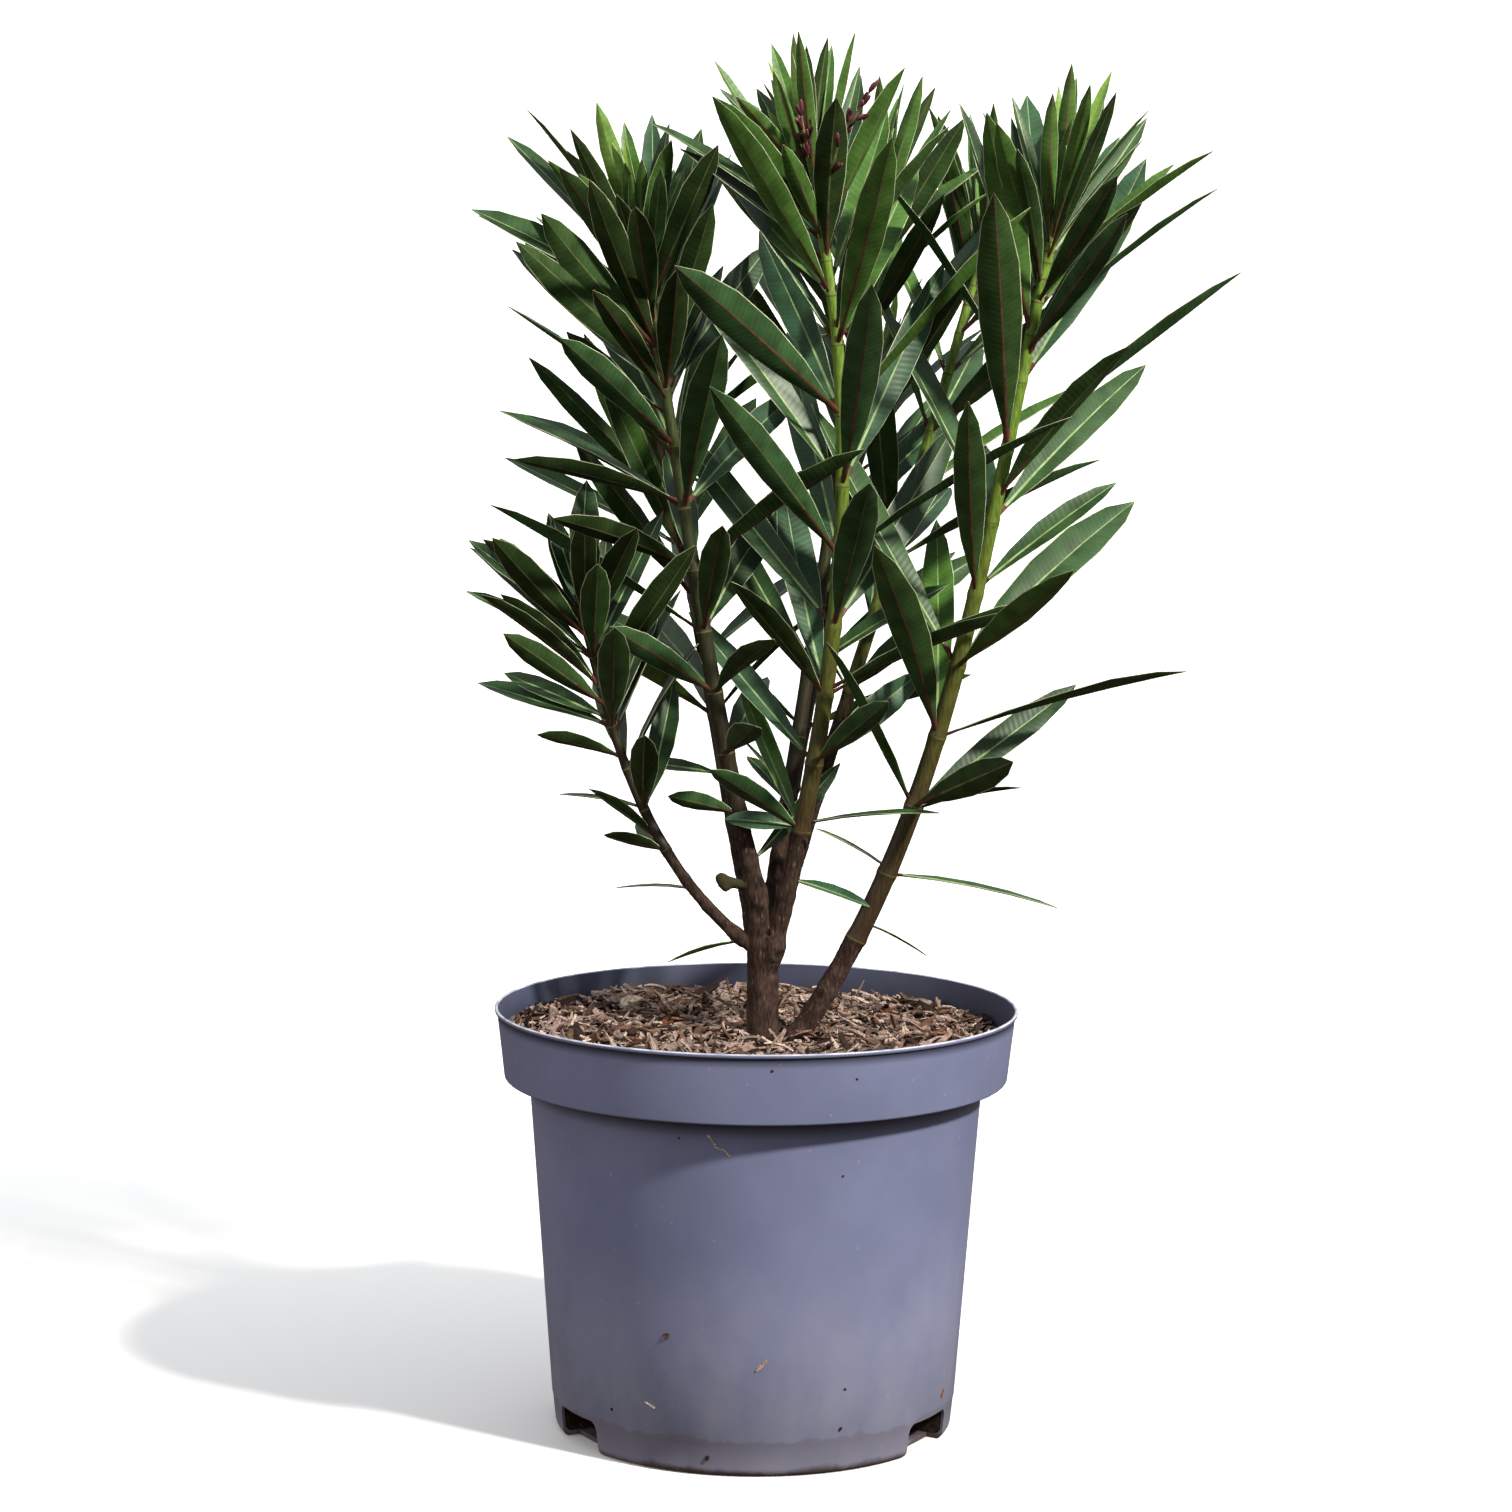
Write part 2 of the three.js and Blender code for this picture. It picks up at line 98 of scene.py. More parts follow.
def closeMaterial(material, settings, height=None, strength=0, depth=0):
    # the shader with its settings, in relief by the height pattern where there is one
    if height:
        relief = addNode(material, "Bump", {"Strength": strength, "Distance": depth, "Height": height})
        settings = {**settings, "Normal": relief}
    shader = addNode(material, "BsdfPrincipled", settings)
    addNode(material, "OutputMaterial", {"Surface": shader})
    return material


def mottle(material, colour, pattern, stops):
    # the colour, darkened by the shades that a pattern picks along the stops
    shade = addNode(material, "ValToRGB", {"stops": stops, "Fac": pattern})
    return addNode(material, "Mix", {"data_type": "RGBA", "blend_type": "MULTIPLY", 0: 1.0, 6: colour,
                                     7: shade})


def coat(material, colour, *layers):
    # lays colours over a colour, each by the share of the surface that it hides
    for share, cover in layers:
        colour = addNode(material, "Mix", {"data_type": "RGBA", 0: share, 6: colour, 7: cover})
    return colour


def meshObject(name, mesh, materials=()):
    piece = bpy.data.objects.new(name, mesh)
    scene.collection.objects.link(piece)
    for material in materials:
        mesh.materials.append(material)
    return piece


def meshFrom(bm, name, scale=mm):
    bmesh.ops.scale(bm, vec=(scale, scale, scale), verts=bm.verts)
    mesh = bpy.data.meshes.new(name)
    bm.to_mesh(mesh)
    bm.free()
    return mesh


def joinedCopies(name, copies, faces, materials):
    # one piece of many copies of a shape: each is its places in millimetres and its faces' slots
    count = len(copies[0][0])
    mesh = bpy.data.meshes.new(name)
    corners = [[k * count + i for i in face] for k in range(len(copies)) for face in faces]
    mesh.from_pydata(np.concatenate([places for places, slots in copies]) * mm, [], corners)
    mesh.polygons.foreach_set("material_index", [slot for places, slots in copies for slot in slots])
    return meshObject(name, mesh, materials)


def templateOf(bm):
    # a finished shape's places and faces, for many copies of it
    bmesh.ops.recalc_face_normals(bm, faces=bm.faces)
    bm.verts.index_update()
    faces = [[vert.index for vert in face.verts] for face in bm.faces]
    return np.array([vert.co for vert in bm.verts]), faces


def arc(centre, radii, fromDegrees, toDegrees, steps):
    # points of an outline, round a centre
    (x, z), (wide, tall) = centre, radii
    angles = [math.radians(mix(fromDegrees, toDegrees, k / steps)) for k in range(steps + 1)]
    return [(x + wide * math.cos(angle), z + tall * math.sin(angle)) for angle in angles]


def sweep(bm, rings):
    # a closed tube through rings of places, which gives back the faces between each two
    ring = bmesh.ops.create_circle(bm, cap_ends=True, segments=len(rings[0]), radius=1)["verts"]
    edges = list(dict.fromkeys(edge for vert in ring for edge in vert.link_edges))
    for vert, place in zip(ring, rings[0]):
        vert.co = place
    rows = []
    for places in rings[1:]:
        grown = bmesh.ops.extrude_edge_only(bm, edges=edges)["geom"]
        fresh = {item for item in grown if isinstance(item, bmesh.types.BMVert)}
        rows.append([item for item in grown if isinstance(item, bmesh.types.BMFace)])
        step = {}
        for vert in fresh:
            ends = (edge.other_vert(vert) for edge in vert.link_edges)
            step[next(end for end in ends if end not in fresh)] = vert
        ring = [step[vert] for vert in ring]
        for vert, place in zip(ring, places):
            vert.co = place
        edges = [item for item in grown
                 if isinstance(item, bmesh.types.BMEdge) and fresh.issuperset(item.verts)]
    bmesh.ops.contextual_create(bm, geom=edges)
    return rows


def spun(name, outline, sides):
    # an outline of radius and height, turned once round the pot's axis
    bm = bmesh.new()
    points = [bm.verts.new((x, 0, z)) for x, z in outline]
    edges = [bm.edges.new(pair) for pair in zip(points, points[1:])]
    bmesh.ops.spin(bm, geom=points + edges, cent=(0, 0, 0), axis=(0, 0, 1), angle=math.tau, steps=sides,
                   use_merge=True)
    bmesh.ops.remove_doubles(bm, verts=bm.verts, dist=0.01)
    bmesh.ops.recalc_face_normals(bm, faces=bm.faces)
    return meshObject(name, meshFrom(bm, name, 1.0))


def applyModifiers(piece):
    # bakes the modifiers into the mesh
    mesh = bpy.data.meshes.new_from_object(piece.evaluated_get(bpy.context.evaluated_depsgraph_get()))
    piece.modifiers.clear()
    swapMesh(piece, mesh)


def swapMesh(piece, mesh):
    old = piece.data
    piece.data = mesh
    bpy.data.meshes.remove(old)


def smoothShade(mesh, sharpAngle):
    mesh.polygons.foreach_set("use_smooth", [True] * len(mesh.polygons))
    mesh.set_sharp_from_angle(angle=math.radians(sharpAngle))


def keep(piece, slot, *nodes):
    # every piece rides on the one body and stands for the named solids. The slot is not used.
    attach(piece, "root")
    if nodes:
        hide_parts(*nodes)


def mix(a, b, t):
    return a + (b - a) * t


def clamp(value, low=0.0, high=1.0):
    return max(low, min(high, value))


def smoothStep(value, low, high):
    t = clamp((value - low) / (high - low))
    return t * t * (3 - 2 * t)


def valueAt(stops, u):
    # the value at u on a broken line through the stops
    return float(np.interp(u, *zip(*stops)))


class Dice:
    # seeded draws, so that each shoot always grows the same way
    def __init__(self, seed):
        self.state = seed

    def roll(self):
        self.state = self.state * 16807 % 2147483647
        return self.state / 2147483647

    def swing(self, amount):
        return (self.roll() * 2 - 1) * amount

    def pick(self, choices):
        return choices[int(self.roll() * len(choices)) % len(choices)]


# Camera, floor and light

view = {
    "distance": 2.009,   # metres in front of the pot's axis
    "height": 0.587,
    "tiltDown": 6.39,    # degrees
    "turnLeft": 0.038,
    "roll": 0.49,
    "lens": 90.48,       # on a 36 mm sensor
}

studio = {
    "floorRadius": 3.4,      # metres, of the pale round sweep that the pot stands on
    "sweepRadius": 1.0,
    "wallHeight": 3.2,
    "paper": {"Base Color": "#f7f7f5", "Roughness": 0.95, "Specular IOR Level": 0.1},
    "sky": {"Color": "#eef1f7", "Strength": 0.8},
    "ground": {"Color": "#d8bfa6", "Strength": 0.2},
    "horizon": {"From Min": -0.1, "From Max": 0.35},
}

# Each lamp: its watts, place, side length, colour and the place that it points at
lamps = {
    "key": (158, (1.88, -1.58, 2.14), 0.22, "#fff8ee", (0.03, 0, 0.42)),     # a sun at the right, in front
    "fill": (13, (-2.1, -0.7, 1.1), 1.2, "#fff4ea", (0.03, 0, 0.42)),
    "wall": (95, (0, 1.3, 2.5), 1.4, "#ffffff", (0, 3.4, 1.3)),              # keeps the backdrop white
}


def buildCamera():
    camera = bpy.data.objects.new("camera", bpy.data.cameras.new("camera"))
    scene.collection.objects.link(camera)
    camera.data.sensor_width = 36
    camera.data.lens = view["lens"]
    camera.data.clip_end = 50
    camera.matrix_world = Matrix.Translation((0, -view["distance"], view["height"]))
    for degrees, axis in ((view["turnLeft"], "Z"), (90 - view["tiltDown"], "X"), (view["roll"], "Z")):
        camera.matrix_world = camera.matrix_world @ Matrix.Rotation(math.radians(degrees), 4, axis)
    scene.camera = camera


def areaLight(name, power, place, size, colour, aim):
    light = bpy.data.lights.new(name, "AREA")
    light.energy = power
    light.size = size
    light.color = linearColour(colour)[:3]
    lamp = bpy.data.objects.new(name, light)
    scene.collection.objects.link(lamp)
    lamp.location = place
    lamp.rotation_euler = (Vector(aim) - Vector(place)).to_track_quat("-Z", "Y").to_euler()


def skyWorld():
    # soft light from above and a little warm light from below
    world = cleared(bpy.data.worlds.new("sky"))
    place = addNode(world, "TexCoord").outputs["Generated"]
    height = addNode(world, "SeparateXYZ", {"Vector": place}).outputs["Z"]
    above = addNode(world, "MapRange", {**studio["horizon"], "Value": height})
    ground, sky = (addNode(world, "Background", studio[part]) for part in ("ground", "sky"))
    addNode(world, "OutputWorld", {"Surface": addNode(world, "MixShader", {0: above, 1: ground, 2: sky})})
    return world


def buildStudio():
    radius, sweep = studio["floorRadius"], studio["sweepRadius"]
    bend = arc((radius - sweep, sweep), (sweep, sweep), -90, 0, 8)
    floor = spun("floor", [(0, 0), *bend, (radius, studio["wallHeight"])], 64)
    floor.data.flip_normals()
    floor.data.polygons.foreach_set("use_smooth", [True] * len(floor.data.polygons))
    # a seamless paper sweep, with no gloss at all
    paper = closeMaterial(cleared(bpy.data.materials.new("pale_matt_paper")), studio["paper"])
    floor.data.materials.append(paper)
    floor.visible_diffuse = False      # the paper throws no light back, so the shade stays deep
    floor.visible_glossy = False
    scene.world = skyWorld()
    for name, settings in lamps.items():
        areaLight(name, *settings)
    scene.view_settings.view_transform = "Standard"


buildCamera()
buildStudio()
print("studio ready")


# The rule that the plant grows by

plant = {
    "groundLevel": 210,
    "rootInset": 8,
    "trunkLine": [(3.2, 0, 0), (3.4, -0.6, 28), (3.8, -0.8, 52), (1.5, -2, 75)],
    "trunkRadius": 8.6,
    "forkRadius": 6.4,
    "forkStart": 46,
    "flareWidth": 1.2,
    "flareHeight": 9,
    "stub": [(-1, -3, 82), (-20.5, -4, 85.5)],
    "stubRadius": 3.1,
    "clearance": 0.3,
}
ground = Vector((0, 0, plant["groundLevel"]))

# Each limb's curve is its foot, two handles and growing tip, measured from the ground. Its foot and
# tip are radii, and gap is the distance between its whorls, the lowest of which is at first.
limbs = {
    "centre": {
        "line": [(7.1, -4.3, 42.9), (39.9, -16.9, 175.5), (57.9, -30.6, 318.7), (24.3, -43.5, 453.7)],
        "foot": 5.4, "tip": 2.4, "leafy": 68, "first": 36, "gap": 37,
        "size": 1.04, "open": 0.94, "turn": 48, "seed": 27588, "more": 5, "slim": 0.93, "sunny": True,
    },
    "right": {
        "line": [(21, -4, 0), (106.9, -10.4, 130.3), (118.7, -19.2, 285.3), (150.8, -27.6, 432.4)],
        "foot": 6, "tip": 2.6, "leafy": 58, "first": 64, "gap": 39,
        "size": 1.15, "open": 0.98, "turn": 45, "seed": 21826, "more": 6, "slim": 0.94, "sunny": True,
        "ownFoot": True, "bareBelow": 70, "fallen": [0, 10, 15, 20],
    },
    "left": {
        "line": [(1.5, -2.2, 72.2), (-27.9, -5.9, 184.4), (-41.1, -9.8, 301.2), (-62.9, -13.5, 415.5)],
        "foot": 5.2, "tip": 2.2, "leafy": 45, "first": 51, "gap": 33,
        "size": 0.98, "open": 1.17, "turn": 105, "seed": 41717, "more": 22,
    },
    "left_low": {
        "line": [(-5.3, -2, 51.6), (-63.7, -2, 97.7), (-81, -2, 171.2), (-96.7, -2, 239.7)],
        "foot": 3.5, "tip": 1.8, "leafy": 59, "first": 67, "gap": 24,
        "size": 0.73, "open": 1.03, "turn": 99, "seed": 79275, "more": 5, "fallen": [2, 5],
    },
    "centre_back": {
        "line": [(5.8, 6.7, 65.5), (26.9, 23.3, 189.5), (42.2, 40, 314.6), (60.8, 56.6, 439.3)],
        "foot": 4.5, "tip": 2.2, "leafy": 52, "first": 61, "gap": 36,
        "size": 0.99, "open": 0.86, "turn": 16, "seed": 79394, "slim": 0.85,
    },
    "right_back": {
        "line": [(9.7, 9, 57), (42, 36, 165), (88, 62, 300), (121.3, 85.4, 427.1)],
        "foot": 4.6, "tip": 2.2, "leafy": 127, "first": 136, "gap": 37,
        "size": 0.98, "open": 0.89, "turn": 83, "seed": 2577, "slim": 0.88, "sunny": True,
    },
    "left_back": {
        "line": [(-1, 9.5, 54), (-22, 44, 140), (-34, 78, 234), (-59, 108.8, 321.5)],
        "foot": 4.2, "tip": 2, "leafy": 82, "first": 91, "gap": 34,
        "size": 0.91, "open": 0.95, "turn": 36, "seed": 89922, "slim": 0.8,
    },
    "back": {
        "line": [(3, 9, 48), (20, 52, 130), (36, 94, 230), (62, 122, 338)],
        "foot": 4.4, "tip": 2, "leafy": 83, "first": 92, "gap": 35,
        "size": 1.07, "open": 0.95, "turn": 25, "seed": 9386, "slim": 0.8,
    },
}

leafRule = {
    "leastWidth": 9.2,
    "widthByLength": 0.1,
    "topWidth": 0.62,
    "topStart": 0.93,
    "angleAlong": [(0, 60), (0.3, 51), (0.55, 46), (0.8, 40), (0.92, 33), (1, 18)],
    "lengthAlong": [(0, 58), (0.15, 92), (0.35, 122), (0.6, 130), (0.85, 112), (0.95, 82), (1, 62)],
    "leaves": 3,
    "whorlTurn": 60,
    "closing": 0.3,
    "leastGap": 5,
    "end": 3,
    "swing": {"bearing": 15, "angle": 11, "length": 0.16, "bend": 0.07, "twist": 24},
    "droop": -0.02,
    "facing": 40,          # degrees by which a blade turns its flat side to the light at the front
    "thinBelow": 0.12,
    "thinShare": 0.35,
    "rings": [(0.33, 0.93), (0.68, 0.86)],   # where along, and how wide, when room is looked at
    "leafRoom": 2,
    "boxRoom": 1,
    "limbRoom": 1.2,
    "leastHeight": 22,
    "turnsToTry": [0, 14, -14, 28, -28, 42, -42],
    "checkStep": 24,
}

heartRule = {
    "leaves": 4, "turn": 90, "angle": 7, "spread": 2.5, "length": 74, "step": 8, "sunk": 5, "width": 9.5,
    "age": 1.05,
    "swing": {"bearing": 24, "angle": 4, "length": 0.12, "twist": 30},
}

# Finer growth than the whorls: narrow young leaves in every heart, and side leaves under the
# heart of a shoot that has "more" of them
fineRule = {
    "young": 8, "more": 2, "turn": 137.5, "bearingSwing": 20,
    "youngAngle": [4, 24], "youngLength": [0.5, 0.86], "youngWidth": [5.5, 8.5], "youngDepth": 9,
    "youngSwing": 4, "moreAngle": [24, 46], "moreLength": [0.7, 1.05], "moreDepth": [10, 84],
    "moreWidth": 0.85, "moreSwing": 5, "moreBend": 0.06, "twist": 34, "reach": 5,
}


class LimbPath:
    # a cubic curve walked by its length, straight on past its two ends
    def __init__(self, line, divisions=200):
        self.line = [Vector(point) for point in line]
        points = [self.pointOf(k / divisions) for k in range(divisions + 1)]
        self.walked = [0.0]
        for last, point in zip(points, points[1:]):
            self.walked.append(self.walked[-1] + (point - last).length)
        self.length = self.walked[-1]

    def pointOf(self, t):
        a, b, c, d = self.line
        s = 1 - t
        return a * s ** 3 + b * 3 * s * s * t + c * 3 * s * t * t + d * t ** 3

    def at(self, station):
        inside = clamp(station, 0, self.length)
        k = min(int(np.searchsorted(self.walked, inside, "right")) - 1, len(self.walked) - 2)
        share = (inside - self.walked[k]) / (self.walked[k + 1] - self.walked[k])
        t = (k + share) / (len(self.walked) - 1)
        s = 1 - t
        a, b, c, d = self.line
        ahead = ((b - a) * s * s + (c - b) * 2 * s * t + (d - c) * t * t).normalized()
        return self.pointOf(t) + ahead * (station - inside), ahead


def acrossOf(ahead):
    # the direction across a limb that is nearest to +X
    return (Vector((1, 0, 0)) - ahead * ahead.x).normalized()


def outOf(ahead, bearing):
    # the direction out of a limb at a bearing in radians
    across = acrossOf(ahead)
    return across * math.cos(bearing) + ahead.cross(across) * math.sin(bearing)


def trunkRadiusAt(station):
    flare = max(0, 1 - station / plant["flareHeight"]) ** 2 * plant["flareWidth"]
    fork = smoothStep(station, plant["forkStart"], trunkPath.length)
    return mix(plant["trunkRadius"], plant["forkRadius"], fork) + flare


def limbRadiusAt(limb, station):
    return mix(limb["foot"], limb["tip"], clamp(station / limb["path"].length))


def leafFrom(point, ahead, plan):
    # a planned leaf with its root and the directions that it lies in
    lean, twist = math.radians(plan["angle"]), math.radians(plan["twist"])
    out = outOf(ahead, math.radians(plan["bearing"]))
    along = ahead * math.cos(lean) + out * math.sin(lean)
    inward = ahead * math.sin(lean) - out * math.cos(lean)
    face = inward * math.cos(twist) + along.cross(inward) * math.sin(twist)
    return {**plan, "root": point, "along": along, "inward": inward, "face": face, "side": along.cross(face)}


def midribOf(leaf, t):
    bend = leaf["inward"] * (leaf["length"] * leaf["bend"] * t * t)
    return leaf["root"] + leaf["along"] * (leaf["length"] * t) + bend


def facingTwist(bearing):
    return leafRule["facing"] * math.sin(2 * math.radians(bearing))


def whorlsOf(limb):
    # whorls of three leaves, each turned on from the last, closing up towards the tip, and its heart
    rule, dice, top = leafRule, Dice(limb["seed"]), limb["path"].length
    swing = rule["swing"]
    leaves, nodes, station = [], [], limb["first"]
    while station < top - rule["end"]:
        u = (station - limb["first"]) / (top - limb["first"])
        for j in range(rule["leaves"]):
            bearing = (limb["turn"] + rule["whorlTurn"] * len(nodes) + 360 / rule["leaves"] * j
                       + dice.swing(swing["bearing"]))
            angle = valueAt(rule["angleAlong"], u) * limb["open"] + dice.swing(swing["angle"])
            length = valueAt(rule["lengthAlong"], u) * limb["size"] * (1 + dice.swing(swing["length"]))
            bend = dice.swing(swing["bend"]) + rule["droop"]
            twist = facingTwist(bearing) + dice.swing(swing["twist"])
            luck = dice.roll()
            width = rule["leastWidth"] + rule["widthByLength"] * length
            if u > rule["topStart"]:
                width *= rule["topWidth"]
            if station < limb["leafy"] or (u < rule["thinBelow"] and luck < rule["thinShare"]):
                continue
            leaves.append({"station": station, "bearing": bearing, "angle": angle, "length": length,
                           "width": width, "bend": bend, "twist": twist, "age": u})
        nodes.append(station)
        station += min(limb["gap"], max(rule["leastGap"], (top - station) * rule["closing"]))
    rule, swing = heartRule, heartRule["swing"]
    for j in range(rule["leaves"]):
        leaves.append({
            "station": top - rule["sunk"],
            "bearing": limb["turn"] + rule["turn"] * j + dice.swing(swing["bearing"]),
            "angle": rule["angle"] + rule["spread"] * j + dice.swing(swing["angle"]),
            "length": (rule["length"] - rule["step"] * j) * limb["size"] * (1 + dice.swing(swing["length"])),
            "twist": dice.swing(swing["twist"]), "width": rule["width"], "bend": leafRule["droop"],
            "age": rule["age"],
        })
    limb["nodes"] = nodes
    return [leaf for leaf in leaves if leaf["station"] >= limb.get("bareBelow", 0)]


def fineLeavesOf(limb):
    # spiral growth between the whorls, drawn with dice of its own
    rule, dice, top = fineRule, Dice(limb["seed"] + 7), limb["path"].length
    plans = []
    for j in range(rule["young"]):
        plans.append({
            "station": top - rule["youngDepth"] * j / rule["young"],
            "bearing": limb["turn"] + rule["turn"] * j + dice.swing(rule["bearingSwing"]),
            "angle": mix(*rule["youngAngle"], j / rule["young"]) + dice.swing(rule["youngSwing"]),
            "length": heartRule["length"] * limb["size"] * mix(*rule["youngLength"], dice.roll()),
            "width": mix(*rule["youngWidth"], dice.roll()), "twist": dice.swing(rule["twist"]),
            "bend": leafRule["droop"], "age": heartRule["age"],
        })
    count = limb.get("more", rule["more"])
    for j in range(count):
        depth = mix(*rule["moreDepth"], (j + dice.roll()) / count)
        u = (top - depth) / top
        bearing = limb["turn"] + rule["turn"] * (j + 0.5) + dice.swing(rule["bearingSwing"])
        angle = mix(*rule["moreAngle"], (j + dice.roll()) / count) + dice.swing(rule["moreSwing"])
        length = valueAt(leafRule["lengthAlong"], u) * limb["size"] * mix(*rule["moreLength"], dice.roll())
        plans.append({
            "station": top - depth, "bearing": bearing, "angle": angle, "length": length, "age": u,
            "width": (leafRule["leastWidth"] + leafRule["widthByLength"] * length) * rule["moreWidth"],
            "twist": facingTwist(bearing) + dice.swing(rule["twist"]),
            "bend": dice.swing(rule["moreBend"]) + leafRule["droop"],
        })
    return plans


def wallsOf(a, b, c, room):
    # the five planes round a triangle that has been thickened and widened by the room
    up = (b - a).cross(c - a).normalized()
    walls = [(up, room - up.dot(a)), (-up, room + up.dot(a))]
    for start, end in ((a, b), (b, c), (c, a)):
        inward = up.cross(end - start).normalized()
        walls.append((inward, room - inward.dot(start)))
    return walls


def boxOf(points, room):
    low = [min(point[i] for point in points) - room for i in range(3)]
    high = [max(point[i] for point in points) + room for i in range(3)]
    return low + high


def apart(a, b):
    # whether two boxes lie clear of each other
    return any(a[i] > b[i + 3] or b[i] > a[i + 3] for i in range(3))


def meets(start, end, walls):
    # whether a straight stretch passes through what the walls enclose
    low, high = 0.0, 1.0
    for inward, offset in walls:
        near, far = inward.dot(start) + offset, inward.dot(end) + offset
        if near < 0 and far < 0:
            return False
        if near < 0:
            low = max(low, near / (near - far))
        elif far < 0:
            high = min(high, near / (near - far))
        if low > high:
            return False
    return True


def outlineOf(leaf):
    # a leaf as four triangles, for looking at the room round it
    corners = [midribOf(leaf, 0)]
    for at, share in leafRule["rings"]:
        half = leaf["side"] * (share * leaf["width"] / 2)
        corners += [midribOf(leaf, at) + half, midribOf(leaf, at) - half]
    corners.append(midribOf(leaf, 1))
    faces = [[corners[i] for i in face] for face in ((0, 1, 2), (1, 2, 4), (1, 4, 3), (3, 4, 5))]
    ends = ((0, 1), (0, 2), (1, 2), (1, 3), (2, 4), (1, 4), (3, 4), (3, 5), (4, 5))
    return {"corners": corners, "faces": faces, "edges": [(corners[i], corners[j]) for i, j in ends],
            "walls": [wallsOf(*face, leafRule["leafRoom"]) for face in faces],
            "box": boxOf(corners, leafRule["boxRoom"])}


def leavesCross(a, b):
    return not apart(a["box"], b["box"]) and (
        any(meets(*edge, walls) for edge in a["edges"] for walls in b["walls"])
        or any(meets(*edge, walls) for edge in b["edges"] for walls in a["walls"]))


def leafHitsRod(outline, rod):
    room = rod["radius"] + leafRule["limbRoom"]
    return not apart(outline["box"], rod["box"]) and any(
        meets(*rod["ends"], wallsOf(*face, room)) for face in outline["faces"])


def rodsOf(path, radiusAt):
    # a limb as a few straight rods, for looking at the room round it
    count = round(path.length / leafRule["checkStep"])
    rods = []
    for i in range(count):
        start, end = (path.length * k / count for k in (i, i + 1))
        ends, radius = [path.at(start)[0], path.at(end)[0]], radiusAt(start)
        rods.append({"ends": ends, "radius": radius, "box": boxOf(ends, radius + leafRule["boxRoom"])})
    return rods


def settleLeaves(plansOf, turns, fits):
    # each shoot's leaves in turn: one that would touch another shoot is turned, or else skipped
    for name, limb in limbs.items():
        otherRods = [rod for other in rods if other != name for rod in rods[other]]
        others = [outline for other in limbs if other != name for outline in limbs[other]["outlines"]]
        for plan in plansOf(limb):
            point, ahead = limb["path"].at(plan["station"])
            for turn in turns:
                leaf = leafFrom(point, ahead, {**plan, "bearing": plan["bearing"] + turn})
                outline = outlineOf(leaf)
                if (fits(name, outline["corners"]) and not any(leafHitsRod(outline, rod) for rod in otherRods)
                        and not any(leavesCross(outline, other) for other in others)):
                    limb["leaves"].append(leaf)
                    limb["outlines"].append(outline)
                    break


def overGround(name, corners):
    return all(corner.z >= leafRule["leastHeight"] for corner in corners)


def insideReach(name, corners):
    # the fine leaves keep within the reach of the shoot's own solid
    low, high = (Vector(corner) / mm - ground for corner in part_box("foliage_" + name))
    reach = fineRule["reach"]
    return all(low[i] - reach <= corner[i] <= high[i] + reach for corner in corners for i in range(3))


trunkPath = LimbPath(plant["trunkLine"])
rods = {"trunk": rodsOf(trunkPath, trunkRadiusAt)}
for limbName, limbPlan in limbs.items():
    limbPlan.update(path=LimbPath(limbPlan["line"]), leaves=[], outlines=[])
    rods[limbName] = rodsOf(limbPlan["path"], lambda station: limbRadiusAt(limbPlan, station))
settleLeaves(whorlsOf, leafRule["turnsToTry"], overGround)
settleLeaves(fineLeavesOf, [0], insideReach)
print("leaves settled:", sum(len(limb["leaves"]) for limb in limbs.values()))


# Leaves

leafLook = {
    # the blade's sections: where along it they lie, and how wide it is there
    "outline": [(0, 0.14), (0.09, 0.17), (0.29, 0.68), (0.5, 0.96), (0.71, 0.96), (0.89, 0.6), (1, 0.02)],
    "slimness": [0.76, 1.02],   # leaves differ in width by as much
    "leastHalf": 0.22,     # the least half width, and what the stalk has on top of it
    "stalkHalf": 0.55,
    "stalkEnd": 0.2,       # where along the leaf the stalk ends, and where its shape has faded out
    "stalkFade": 0.12,
    "thickness": 0.5,
    "tipThickness": 0.55,  # as a share of the foot's
    "margin": 0.96,        # where across the half width the pale margin begins
    "channel": 0.48,       # how far the margins rise above the midrib, as a share of the half width
    "curl": 0.12,          # how far the margins turn down again
    "ribFoot": 0.8,        # half width of the midrib at its foot and at its tip
    "ribTip": 0.13,
    "ribShare": 0.6,       # the most of the half width that the midrib takes
    "ribZone": 0.2,        # the lines that lie nearer to the middle than this are the midrib's
    "ribBase": 0.35,       # up to here the midrib is as red as the stalk below
    "ribDepth": 0.6,
    "ribTaper": 0.75,
    "groove": 0.25,
    "petioleDepth": 1.0,
    "sweep": 0.045,
    "turnAlong": 18,       # degrees that a blade twists from root to tip
    "wave": 0.05,
    "waveTurns": 9,
    "veinSpacing": 1.7,
    "veinSlant": 0.35,
    "sharpAngle": 50,
}

# The skins of a leaf, by what they are: leathery and waxed above, dull below. The shades of
# green are dealt out leaf by leaf, dark on old leaves and bright in the heart of a shoot.
leafShades = {
    "upper": {"deep": "#2e4a2b", "mid": "#37562f", "blue": "#3a5c41", "fresh": "#517b34", "young": "#86b04c"},
    "under": {"deep": "#2c3f1d", "mid": "#365028", "blue": "#385733", "fresh": "#4a6e30", "young": "#7fa852"},
}
leafFinish = {"upper": (0.42, 0.15, 0.34), "under": (0.62, 0.12, 0.16)}    # roughness, relief and gloss
ribShades = {"ribUpper": "#93ae76", "ribUnder": "#666c45", "ribYoung": "#8cad5c", "ribRed": "#74493f",
             "petiole": "#613b2f", "margin": "#c3cda8"}
redRibs = 0.35             # the share of leaves whose midrib is wine red all along its underside
leafSlots = [side + "_" + shade for side in leafShades for shade in leafShades[side]] + list(ribShades)
